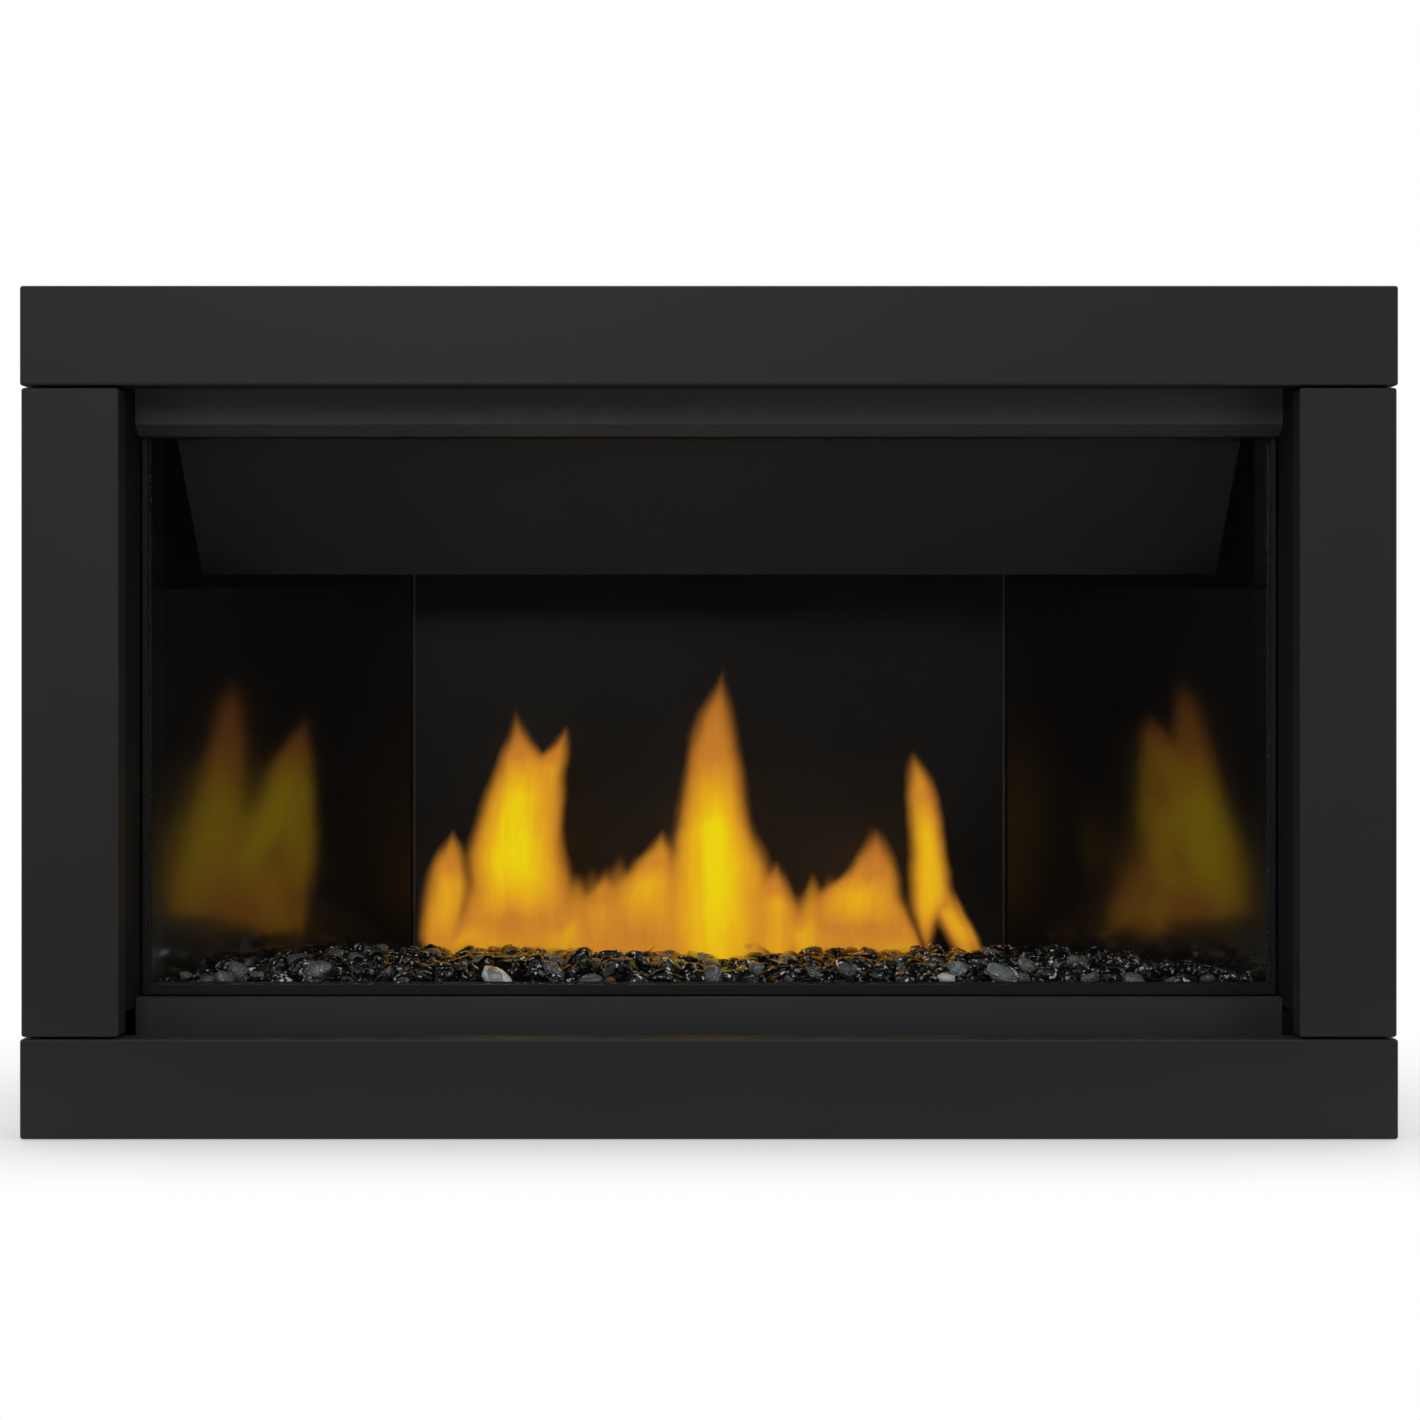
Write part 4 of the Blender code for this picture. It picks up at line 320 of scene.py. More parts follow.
# bare and plated metals
metalValues = {
    "zincPlate": {"colour": (0.58, 0.58, 0.56, 1), "rough": 0.32, "fineness": 900.0, "stain": 0.12, "bump": 0.05},
    "blackZinc": {"colour": (0.045, 0.045, 0.047, 1), "rough": 0.42, "fineness": 900.0, "stain": 0.10, "bump": 0.05},
    "castAlloy": {"colour": (0.60, 0.61, 0.62, 1), "rough": 0.48, "fineness": 420.0, "stain": 0.10, "bump": 0.20},
    "machinedBrass": {"colour": (0.66, 0.47, 0.20, 1), "rough": 0.28, "fineness": 1100.0, "stain": 0.18,
                      "bump": 0.05},
}
# coated sheet: the case is galvanised, the vent collars are aluminised and smoother
sheetValues = {
    "galvanisedSheet": {"colour": (0.345, 0.352, 0.358, 1), "rough": 0.56, "size": 120.0, "contrast": 0.26,
                        "bump": 0.05},
    "collarSheet": {"colour": (0.52, 0.525, 0.53, 1), "rough": 0.36, "size": 400.0, "contrast": 0.10, "bump": 0.05},
}


# a finish that one shared effect gives: each value goes to the effect's input of that name
def makeFinish(name, effect, values, bumpReach, **plain):
    material, tree, shader = newMaterial(name, **plain)
    inputs = [item.name for item in effect.interface.items_tree if item.in_out == "INPUT"]
    film = useGroup(tree, effect, **{label: values[label.lower()] for label in inputs})
    feed(tree, shader, Base_Color=film["Colour"], Roughness=film["Rough"])
    bumpFrom(tree, shader, film["Height"], values["bump"], bumpReach)
    return material


def makeBurnerSteel():
    values = {"colour": (0.42, 0.40, 0.38, 1), "rough": 0.45, "foot": 0.070, "head": 0.097, "soot": 0.75}
    material, tree, shader = newMaterial("burnerSteel", Metallic=0.9)
    grain = useGroup(tree, metalGrain, Colour=values["colour"], Rough=values["rough"], Fineness=600.0, Stain=0.2)
    heat = useGroup(tree, heatTint, Colour=grain["Colour"], Foot=values["foot"], Head=values["head"],
                    Soot=values["soot"])
    dull = plus(tree, grain["Rough"], heat["Soot"], clamp=True)
    feed(tree, shader, Base_Color=heat["Colour"], Roughness=dull)
    bumpFrom(tree, shader, grain["Height"], 0.1, 0.0003)
    return material


# glossy black enamel under a thin film of haze, whose pale colour is partly a painted sheen
porcelainValues = {
    "blackPorcelain": {"rough": 0.055, "film": 0.14, "index": 2.06},
    "hazedPorcelain": {"rough": 0.34, "film": 0.22, "index": 1.24},   # the back panel, dulled by the fire
}


def makePorcelain(name, values):
    # the haze colour is lifted so that it also stands in for a pale reflection on the enamel: partly real haze, partly
    # painted sheen
    black, hazeAndSheenColour, foot, head = (0.0035, 0.0034, 0.0033, 1), (0.038, 0.035, 0.031, 1), 0.10, 0.36
    ripples, ripple, rippleReach = 26.0, 0.12, 0.0008
    material, tree, shader = newMaterial(name, IOR=values["index"])
    film = useGroup(tree, fireHaze, Rough=values["rough"], Haze=values["film"], Foot=foot, Head=head)
    feed(tree, shader, Base_Color=mixColour(tree, film["Haze"], black, hazeAndSheenColour), Roughness=film["Rough"])
    bumpFrom(tree, shader, noiseAt(tree, placeIn(tree), ripples, 2.0), ripple, rippleReach)
    return material


def makeRope():
    material, tree, shader = newMaterial("gasketRope", Roughness=0.9)
    braid = useGroup(tree, ropeBraid, Colour=(0.012, 0.012, 0.012, 1), Pitch=260.0)
    feed(tree, shader, Base_Color=braid["Colour"])
    bumpFrom(tree, shader, braid["Height"], 0.5, 0.0006)
    return material


# the pane lets lamp light and the fire's glow straight through
def makePaneGlass():
    material, tree, shader = newMaterial("paneGlass", Base_Color=(0.93, 0.95, 0.94, 1), IOR=1.47,
                                         Transmission_Weight=1.0)
    film = useGroup(tree, fireHaze, Rough=0.0, Haze=0.012, Foot=0.10, Head=0.52)
    feed(tree, shader, Roughness=film["Rough"])
    path = addNode(tree, "ShaderNodeLightPath").outputs
    through = math2(tree, "MAXIMUM", path["Is Shadow Ray"], path["Is Diffuse Ray"])
    clear = addNode(tree, "ShaderNodeBsdfTransparent", {0: (0.93, 0.94, 0.93, 1)}).outputs[0]
    feed(tree, tree.nodes["Material Output"], Surface=mixShader(tree, through, shader.outputs[0], clear))
    return material


finishes = {"burnerSteel": makeBurnerSteel(), "gasketRope": makeRope(), "paneGlass": makePaneGlass()}
for name, values in paintValues.items():
    finishes[name] = makeFinish(name, paintFilm, values, 0.0004, Specular_IOR_Level=values["gloss"])
for name, values in metalValues.items():
    finishes[name] = makeFinish(name, metalGrain, values, 0.0003, Metallic=1.0)
for name, values in sheetValues.items():
    finishes[name] = makeFinish(name, zincSpangle, values, 0.0003, Metallic=0.85)
for name, values in porcelainValues.items():
    finishes[name] = makePorcelain(name, values)

# the finish of each CAD node: by its slot in the record, or by its own name
slotFinish = {"powder_black": "trimPowder", "inner_black": "fireboxPaint", "galvanised": "galvanisedSheet",
              "porcelain": "blackPorcelain", "plated_steel": "zincPlate", "cast_aluminium": "castAlloy",
              "brass": "machinedBrass", "black_plastic": "mouldedPlastic", "white_ceramic": "glazedCeramic",
              "gasket_rope": "gasketRope", "ceramic_glass": "paneGlass", "glass_media": "fireboxPaint"}
namedNodes = {
    "hoodPaintedLightPowder": ("hood", "apron_panel"), "hazedPorcelain": ("back_reflector",), "bafflePaint": ("baffle",),
    "doorShadedPowder": ("door_frame",), "collarSheet": ("outer_air_collar", "inner_flue_collar"),
    "paintedShadePowder": ("left_upper_liner", "right_upper_liner", "left_side_return", "right_side_return"),
    "burnerSteel": ("burner_pan", "burner_port_plate", "venturi_tube", "pilot_hood", "pilot_bracket"),
    "blackZinc": ("left_latch_bracket", "right_latch_bracket", "left_latch_lever", "right_latch_lever"),
}
nodeFinish = {node: finish for finish, named in namedNodes.items() for node in named}


# CAD meshes come split at every edge: join them, and shade round faces round
def makeShadingGroup():
    group = bpy.data.node_groups.new("seamlessShading", "GeometryNodeTree")
    for way in ("INPUT", "OUTPUT"):
        group.interface.new_socket(name="Geometry", in_out=way, socket_type="NodeSocketGeometry")
    given = group.nodes.new("NodeGroupInput").outputs
    out = group.nodes.new("NodeGroupOutput").inputs
    plain = addNode(group, "GeometryNodeRemoveAttribute", {"Geometry": given[0], "Name": "custom_normal"})
    joined = addNode(group, "GeometryNodeMergeByDistance", {"Geometry": plain.outputs[0], "Distance": 0.00001})
    angle = addNode(group, "GeometryNodeInputMeshEdgeAngle").outputs[0]
    blunt = addNode(group, "FunctionNodeCompare", {0: angle, 1: math.radians(28)}, operation="LESS_EQUAL")
    smoothEdges = addNode(group, "GeometryNodeSetShadeSmooth",
                          {"Geometry": joined.outputs[0], "Shade Smooth": blunt.outputs[0]}, domain="EDGE")
    smoothFaces = addNode(group, "GeometryNodeSetShadeSmooth",
                          {"Geometry": smoothEdges.outputs[0], "Shade Smooth": True}, domain="FACE")
    group.links.new(smoothFaces.outputs[0], out[0])
    return group


def dressNodes():
    shading = makeShadingGroup()
    slots = {part["node"]: part["material_slot"] for part in frame["record"]["subparts"]}
    for name, node in nodes.items():
        look = nodeFinish.get(name) or slotFinish[slots[name]]
        node.material_slots[0].link = "OBJECT"
        node.material_slots[0].material = finishes[look]
        node.modifiers.new("seamlessShading", "NODES").node_group = shading
        node.modifiers.new("flatsStayFlat", "WEIGHTED_NORMAL").keep_sharp = True


dressNodes()
print("CAD nodes dressed")


# mesh helpers
def toMesh(name, bm, material, body="appliance"):
    mesh = bpy.data.meshes.new(name)
    bmesh.ops.recalc_face_normals(bm, faces=bm.faces)
    bm.to_mesh(mesh)
    bm.free()
    return toPiece(name, mesh, material, body)


def toPiece(name, mesh, material, body="appliance", sharpAngle=35):
    made = newObject(name, mesh)
    mesh.materials.append(material)
    mesh.polygons.foreach_set("use_smooth", [True] * len(mesh.polygons))
    if sharpAngle:
        mesh.set_sharp_from_angle(angle=math.radians(sharpAngle))
    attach(made, body)
    return made


def ringAt(bm, middle, side, up, radius, segments):
    turns = [math.tau * step / segments for step in range(segments)]
    return [bm.verts.new(middle + radius * (math.cos(turn) * side + math.sin(turn) * up)) for turn in turns]


def joinRings(bm, rings, closed=False):
    after = rings[1:] + rings[:1] if closed else rings[1:]
    for low, high in zip(rings, after):
        for a, b, c, d in zip(low, low[1:] + low[:1], high[1:] + high[:1], high):
            bm.faces.new((a, b, c, d))
    if not closed:
        bm.faces.new(list(reversed(rings[0])))
        bm.faces.new(rings[-1])


def lathe(bm, profile, place, axis, segments):
    turn = Vector((0, 0, 1)).rotation_difference(Vector(axis)).to_matrix()
    side, up, along = turn.col[0], turn.col[1], turn.col[2]
    joinRings(bm, [ringAt(bm, Vector(place) + along * height, side, up, radius, segments)
                   for radius, height in profile])


def sweptTube(bm, path, radius, segments, closed=False):
    points = [Vector(p) for p in path]
    rings = []
    side = None
    for index, point in enumerate(points):
        before = points[index - 1] if index or closed else point
        after = points[(index + 1) % len(points)] if index + 1 < len(points) or closed else point
        along = (after - before).normalized()
        if side is None:
            side = along.orthogonal().normalized()
        side = (side - along * side.dot(along)).normalized()
        rings.append(ringAt(bm, point, side, along.cross(side), radius, segments))
    joinRings(bm, rings, closed)


def ringPath(centre, radius, count=72):
    turns = [math.tau * step / count for step in range(count)]
    return [(centre[0] + radius * math.cos(turn), centre[1], centre[2] + radius * math.sin(turn)) for turn in turns]


# glass nuggets that lie on the tray, in place of the plain CAD bed
mediaValues = {
    "frontDepth": 0.1030, "rearDepth": 0.3180, "frontHalf": 0.4080, "rearHalf": 0.2400, "floor": 0.0955,
    "spacing": 0.0148, "size": (0.0058, 0.0104), "wide": (0.85, 1.35), "deep": (0.8, 1.05), "flat": (0.52, 0.74),
    "lean": 0.5, "lumps": ((0.26, 1.1), (0.06, 3.2)), "rest": 0.0035, "seed": 7,
    "stride": (0.72, 1.12), "stray": (-0.002, 0.003),   # along a row in spacings, and off it
    "kinds": (0.18, 0.72, 0.996),   # clear, smoky, grey, and the rest pale
    "chunks": 14, "chunkShare": 0.40, "chunkCorners": 17, "chunkReach": (0.82, 1.10), "chunkEdge": 0.07,
    "pile": {"layers": 2, "middle": 0.155, "reach": 0.110, "rise": 0.0085, "half": 0.40, "least": 0.0015},
    "closeRows": (0.20, 0.74), "rows": 0.92, "fineShapes": 0.16,   # the front rows lie closer and are rounder
    "pilot": (-0.220, 0.271, 0.022), "clearance": 1.4,   # kept free: x, depth, half width, and round a large one
    # large ones by themselves: x, depth, radius, kind
    "large": ((-0.1610, 0.1090, 0.0118, 3), (-0.3240, 0.1090, 0.0096, 2), (-0.0520, 0.1085, 0.0092, 2),
              (0.1480, 0.1080, 0.0088, 2), (0.2220, 0.1100, 0.0118, 0), (0.2560, 0.1105, 0.0112, 2),
              (0.3220, 0.1080, 0.0090, 0)),
}
depthZero = 0.208   # depths are counted from the front, which lies at y = -0.208


def roundShape(subdivisions):
    bm = bmesh.new()
    bmesh.ops.create_icosphere(bm, subdivisions=subdivisions, radius=1.0)
    return shapeOf(bm)


def chunkShape(chance):
    bm = bmesh.new()
    for corner in range(mediaValues["chunkCorners"]):
        spot = Vector((chance.gauss(0, 1), chance.gauss(0, 1), chance.gauss(0, 1))).normalized()
        bm.verts.new(spot * chance.uniform(*mediaValues["chunkReach"]))
    bmesh.ops.convex_hull(bm, input=bm.verts)
    bmesh.ops.delete(bm, geom=[v for v in bm.verts if not v.link_faces], context="VERTS")
    bmesh.ops.bevel(bm, geom=bm.edges[:], offset=mediaValues["chunkEdge"], segments=1, affect="EDGES")
    return shapeOf(bm)


def shapeOf(bm):
    bm.verts.index_update()
    points = [v.co.copy() for v in bm.verts]
    faces = [[v.index for v in f.verts] for f in bm.faces]
    bm.free()
    return points, faces


nuggetValues = {
    "nuggetSmoky": {"colour": (0.0030, 0.0030, 0.0034, 1), "rough": 0.05, "glint": 0.45},
    "nuggetGrey": {"colour": (0.010, 0.0104, 0.0112, 1), "rough": 0.06, "glint": 1.0},
    "nuggetPale": {"colour": (0.66, 0.665, 0.67, 1), "rough": 0.14, "glint": 0.85},
}
# painted glints in the nuggets: the colour of the bright flecks and veils, and the noise scale and thresholds of each
paintedGlints = {"colour": (0.93, 0.94, 0.95, 1), "fleck": (250.0, 0.61, 0.65), "veil": (95.0, 0.56, 0.66, 0.16)}


def makeMediaMaterials():
    clear, tree, shader = newMaterial("nuggetClear", Base_Color=(0.80, 0.84, 0.86, 1), IOR=1.5,
                                      Transmission_Weight=0.85)
    film = useGroup(tree, fireHaze, Rough=0.04, Haze=0.12, Foot=0.09, Head=0.12)
    feed(tree, shader, Roughness=film["Rough"])
    return [clear] + [makeNuggetGlass(name, values) for name, values in nuggetValues.items()]


# nearly opaque glass with painted glints: small bright flecks and fainter veils painted into the colour, standing in
# for highlights and light caught in the glass
def makeNuggetGlass(name, values):
    material, tree, shader = newMaterial(name, IOR=1.5)
    film = useGroup(tree, fireHaze, Rough=values["rough"], Haze=0.15, Foot=0.09, Head=0.12)
    place = placeIn(tree)
    tone = addNode(tree, "ShaderNodeTexVoronoi", {"Vector": place, "Scale": 60.0}).outputs["Color"]
    shade = remap(tree, addNode(tree, "ShaderNodeSeparateColor", {0: tone}).outputs[0], 0, 1, 0.4, 1.9)
    deep = mixColour(tree, 1.0, values["colour"], shade, "MULTIPLY")
    scale, low, high = paintedGlints["fleck"]
    fleck = remap(tree, noiseAt(tree, place, scale, 2.0), low, high, smooth=True)
    scale, low, high, share = paintedGlints["veil"]
    veil = remap(tree, noiseAt(tree, place, scale, 3.0, Distortion=1.5), low, high, smooth=True)
    paintedGlint = times(tree, plus(tree, fleck, times(tree, veil, share), clamp=True), values["glint"])
    feed(tree, shader, Base_Color=mixColour(tree, paintedGlint, deep, paintedGlints["colour"]), Roughness=film["Rough"])
    return material


def makeMedia():
    values = mediaValues
    chance = random.Random(values["seed"])
    rounds = (roundShape(3), roundShape(2))
    chunks = [chunkShape(chance) for index in range(values["chunks"])]
    heaps = [([], []) for kind in range(4)]
    names = ("clearNuggets", "smokyNuggets", "greyNuggets", "paleNuggets")
    pile, spacing = values["pile"], values["spacing"]
    closeShare, closeRow = values["closeRows"]
    count = 0
    for layer in range(pile["layers"]):
        depth = values["frontDepth"] + layer * 0.5 * spacing
        while depth < values["rearDepth"] - layer * spacing:
            share = (depth - values["frontDepth"]) / (values["rearDepth"] - values["frontDepth"])
            half = values["frontHalf"] + (values["rearHalf"] - values["frontHalf"]) * share
            mound = max(0.0, 1 - ((depth - pile["middle"]) / pile["reach"]) ** 2) * pile["rise"]
            x = -half + chance.random() * spacing * 0.5
            while x < half:
                radius = chance.uniform(*values["size"])
                place = (x, depth + chance.uniform(*values["stray"]))
                lift = mound * layer * max(0.0, 1 - (abs(x) / pile["half"]) ** 6)
                if isFree(place) and (layer == 0 or lift > pile["least"]):
                    pick = chance.random()
                    kind = sum(pick > limit for limit in values["kinds"])
                    shape = rounds[0] if share < values["fineShapes"] else rounds[1]
                    if chance.random() < values["chunkShare"]:
                        shape = chance.choice(chunks)
                    addNugget(heaps[kind], shape, place, radius, lift, chance)
                    count += 1
                x += spacing * chance.uniform(*values["stride"])
            depth += spacing * (closeRow if share < closeShare else values["rows"])
    for x, depth, radius, kind in values["large"]:
        addNugget(heaps[kind], rounds[0], (x, depth), radius, 0.0, chance)
    for heap, name, material in zip(heaps, names, makeMediaMaterials()):
        mesh = bpy.data.meshes.new(name)
        mesh.from_pydata(heap[0], [], heap[1])
        mesh.update()
        piece = toPiece(name, mesh, material)
        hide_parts("media_bed")
    print("media: nuggets", count, "faces", sum(len(heap[1]) for heap in heaps))


# neither under the pilot nor inside a large nugget
def isFree(place):
    reach = mediaValues["clearance"]
    kept = [mediaValues["pilot"]] + [(x, depth, radius * reach) for x, depth, radius, kind in mediaValues["large"]]
    return all(abs(place[0] - x) > gap or abs(place[1] - depth) > gap for x, depth, gap in kept)


def addNugget(heap, shape, place, radius, lift, chance):
    values = mediaValues
    points, faces = shape
    stretch = [chance.uniform(*values[way]) for way in ("wide", "deep", "flat")]
    turn = Matrix.Rotation(chance.uniform(0, math.tau), 3, "Z")
    for axis in "XY":
        turn = turn @ Matrix.Rotation(chance.uniform(-values["lean"], values["lean"]), 3, axis)
    seed = Vector((chance.uniform(0, 50), chance.uniform(0, 50), chance.uniform(0, 50)))
    moved = []
    for point in points:
        lump = 1 + sum(swell * noise.noise(point * pitch + seed) for swell, pitch in values["lumps"])
        moved.append(turn @ Vector((p * s for p, s in zip(point * lump * radius, stretch))))
    lowest = min(p.z for p in moved)
    rise = values["floor"] + lift + chance.uniform(0, values["rest"]) - lowest
    start = len(heap[0])
    middle = Vector((place[0], place[1] - depthZero, rise))
    heap[0].extend((p + middle)[:] for p in moved)
    heap[1].extend([[start + index for index in face] for face in faces])


makeMedia()


# flames: each tongue is a few crossing sheets that fade at their edges, so it stays a flame from any side;
# the map flameSpot holds the way off the centre line and the half width there, both in centimetres
flameValues = {
    "footZ": 0.1045, "rise": 0.965, "strength": 1.15, "angles": (0, 27, -27, 58, -58), "turn": 6, "belly": 0.18,
    "depthShare": 0.95, "steps": 48, "across": 12, "least": 0.4, "grow": 6.0, "growFrom": 14, "seed": 23,
    "soft": 1.9, "dense": 0.74, "footFade": 0.022, "lift": 0.04,
    # how far the curls push the edge and the core, and how much the licks and streaks change the colour
    "edgeCurl": 0.9, "coreCurl": 0.40, "coreHalf": 0.90, "lickColour": 0.60, "streakColour": 0.25, "ragged": 0.5,
    "stops": [(0.0, (0.565, 0.196, 0.022, 1)), (0.18, (0.650, 0.262, 0.018, 1)), (0.42, (0.740, 0.345, 0.013, 1)),
              (0.72, (0.805, 0.460, 0.008, 1)), (1.0, (0.835, 0.628, 0.005, 1))],
}
# name: depth of foot and tip in millimetres, the heat at the foot and in the core and the share of the way up
# where it starts to fall, and (x, height over the media, half width) in millimetres from foot to tip;
# heat is 1 where the flame is yellow, 0 where it is orange, and -1 where it has thinned to nothing
tongues = {
    "flameLeftLeaf": (205, 225, (-0.90, 0.35, 0.42), [
        (-217, 2, 3), (-214, 20, 14), (-209, 50, 17), (-207, 76, 14), (-205, 93, 10), (-204, 106, 4), (-203, 112, 1)]),
    "flameLeftTall": (208, 254, (-1.80, 1.05, 0.52), [
        (-152, 2, 34), (-152, 18, 38), (-151, 46, 41), (-151, 70, 41), (-153, 94, 38), (-152, 118, 32),
        (-150, 142, 26), (-149, 163, 19), (-152, 178, 12), (-155, 193, 7), (-156, 207, 3), (-156, 216, 1)]),
    "flameLeftFork": (222, 256, (0.30, 0.35, 0.50), [
        (-138, 80, 1), (-134, 104, 12), (-132, 128, 14), (-131, 150, 13), (-126, 166, 12), (-120, 178, 8),
        (-116, 190, 5), (-115, 202, 1)]),
    "flameLow": (200, 215, (-0.20, 0.15, 0.40), [
        (-84, 2, 22), (-84, 34, 22), (-83, 54, 15), (-82, 68, 7), (-82, 76, 1)]),
    "flameMiddleShoulder": (190, 214, (-0.40, 0.50, 0.38), [
        (-50, 2, 28), (-49, 40, 30), (-47, 62, 26), (-42, 81, 17), (-38, 96, 10), (-37, 108, 5), (-37, 117, 1)]),
    "flameCentre": (176, 206, (0.60, 1.05, 0.40), [
        (6, 2, 40), (6, 20, 43), (6, 46, 44), (7, 73, 41), (7, 90, 37), (5, 106, 32), (5, 120, 28), (4, 142, 24),
        (4, 160, 21), (3, 178, 18), (5, 201, 14), (8, 218, 10), (11, 232, 6), (13, 246, 3), (14, 256, 1)]),
    "flameCentreRight": (196, 214, (0.30, 0.45, 0.36), [
        (48, 2, 18), (49, 40, 19), (50, 54, 15), (52, 67, 10), (53, 80, 5), (54, 88, 1)]),
    "flameRight": (186, 222, (-1.60, 0.55, 0.38), [
        (120, 2, 40), (121, 22, 43), (119, 42, 39), (119, 58, 32), (127, 73, 21), (131, 87, 14), (133, 101, 9),
        (132, 113, 5), (131, 122, 1)]),
    "flameSlim": (196, 212, (-0.90, 0.70, 0.55), [
        (171, 2, 2), (171, 20, 6), (172, 37, 10), (174, 54, 14), (174, 71, 15), (173, 92, 13), (171, 119, 12),
        (167, 143, 11), (164, 158, 9), (162, 171, 5), (161, 180, 1)]),
    "flameSlimLeg": (200, 210, (-0.70, 0.35, 0.45), [
        (207, 2, 8), (200, 20, 11), (192, 37, 11), (184, 54, 11), (178, 71, 8), (174, 92, 1)]),
    "flameRightWisp": (210, 220, (-0.60, -0.20, 0.45), [
        (216, 2, 4), (209, 20, 6), (201, 40, 5), (194, 60, 3), (190, 74, 1)]),
}
# the low fire along the burner, between the tongues: depths, and (x, height) of its top in millimetres
lowFire = {
    "depths": (222, 232, 242), "foot": 1, "steps": 160, "rows": 12, "sway": 7, "swayWave": 0.045,
    "heat": (0.15, 0.40, 0.36), "lateral": 0.1, "waves": ((0.14, 0.16, 1), (0.05, 0.37, 2)), "endFade": 400,
    "tops": [(-228, 2), (-213, 22), (-199, 46), (-190, 61), (-178, 66), (-150, 66), (-125, 67), (-101, 72), (-84, 77),
             (-64, 82), (-40, 82), (-15, 82), (6, 82), (30, 80), (52, 72), (66, 66), (76, 62), (90, 67), (105, 70),
             (122, 67), (140, 60), (152, 50), (164, 32), (176, 2)],
}


def makeFlameMaterial():
    values = flameValues
    material, tree, shader = newMaterial("flameGlow", Base_Color=(0, 0, 0, 1), Roughness=1.0,
                                         Specular_IOR_Level=0.0, Emission_Strength=values["strength"])
    spot = addNode(tree, "ShaderNodeUVMap", uv_map="flameSpot").outputs[0]
    warm = addNode(tree, "ShaderNodeUVMap", uv_map="flameHeat").outputs[0]
    place = placeIn(tree)
    drawn = stretched(tree, place, (1, 1, 0.12))
    streak = noiseAt(tree, drawn, 130.0, 3.0)
    lick = noiseAt(tree, drawn, 42.0, 2.0)
    curl = minus(tree, noiseAt(tree, place, 26.0, 2.0), 0.5)
    licking = minus(tree, lick, 0.5)
    # colour: hot along the middle, cooler towards the edges and the tip
    shifted = plus(tree, partOf(tree, warm, 0), times(tree, curl, values["coreCurl"]))
    level = partOf(tree, warm, 1)
    middle = remap(tree, math2(tree, "ABSOLUTE", shifted), values["coreHalf"], 0.0, smooth=True)
    core = times(tree, middle, math2(tree, "MAXIMUM", level, 0.0))
    patchy = times(tree, licking, values["lickColour"])
    fine = times(tree, minus(tree, streak, 0.5), values["streakColour"])
    hot = plus(tree, plus(tree, core, patchy), plus(tree, fine, values["lift"]))
    ramp = addNode(tree, "ShaderNodeValToRGB", {0: hot})
    setStops(ramp, values["stops"])
    # film: thin at the edges, the tip and the foot
    offCentre = math2(tree, "ABSOLUTE", plus(tree, partOf(tree, spot, 0), times(tree, curl, values["edgeCurl"])))
    edge = remap(tree, minus(tree, partOf(tree, spot, 1), offCentre), 0.0, values["soft"], smooth=True)
    gap = remap(tree, lick, 0.44, 0.62, smooth=True)
    height = partOf(tree, place, 2)
    fadeFoot = remap(tree, height, values["footZ"], values["footZ"] + values["footFade"], gap, 1.0, smooth=True)
    thin = remap(tree, streak, 0.25, 0.6, 0.8, 1.0)
    body = plus(tree, plus(tree, level, 1.0), times(tree, licking, values["ragged"]), clamp=True)
    film = times(tree, times(tree, edge, body), times(tree, fadeFoot, thin))
    feed(tree, shader, Emission_Color=ramp.outputs[0], Alpha=times(tree, film, values["dense"]))
    material.cycles.emission_sampling = "NONE"
    return material


def spline(points, t):
    spread = t * (len(points) - 1)
    index = min(int(spread), len(points) - 2)
    part = spread - index
    around = [points[max(index - 1, 0)], points[index], points[index + 1], points[min(index + 2, len(points) - 1)]]
    found = []
    for a, b, c, d in zip(*around):
        found.append(0.5 * (2 * b + (c - a) * part + (2 * a - 5 * b + 4 * c - d) * part ** 2
                            + (3 * b - a - 3 * c + d) * part ** 3))
    return found


# heat at a share of the way up: it rises to the core's, holds, and falls away from the turn to the tip
def heatAt(heats, share):
    foot, core, turn = heats
    rise, tip, nothing, fall = 0.35, 0.97, -1.04, 1.6
    if share < turn:
        return foot + (core - foot) * math.sin(min(1.0, share / rise) * math.pi / 2)
    left = max(0.0, tip - share) / (tip - turn)
    return nothing + (core - nothing) * left ** fall


def newSheets():
    bm = bmesh.new()
    return bm, bm.loops.layers.uv.new("flameSpot"), bm.loops.layers.uv.new("flameHeat")


def addSheet(sheets, rows):
    bm, spots, heats = sheets
    for low, high in zip(rows, rows[1:]):
        for a, b, c, d in zip(low, low[1:], high[1:], high):
            face = bm.faces.new((a[0], b[0], c[0], d[0]))
            for loop, corner in zip(face.loops, (a, b, c, d)):
                loop[spots].uv = corner[1]
                loop[heats].uv = corner[2]


def toFlame(name, sheets, material):
    mesh = bpy.data.meshes.new(name)
    sheets[0].to_mesh(mesh)
    sheets[0].free()
    toPiece(name, mesh, material, sharpAngle=None)


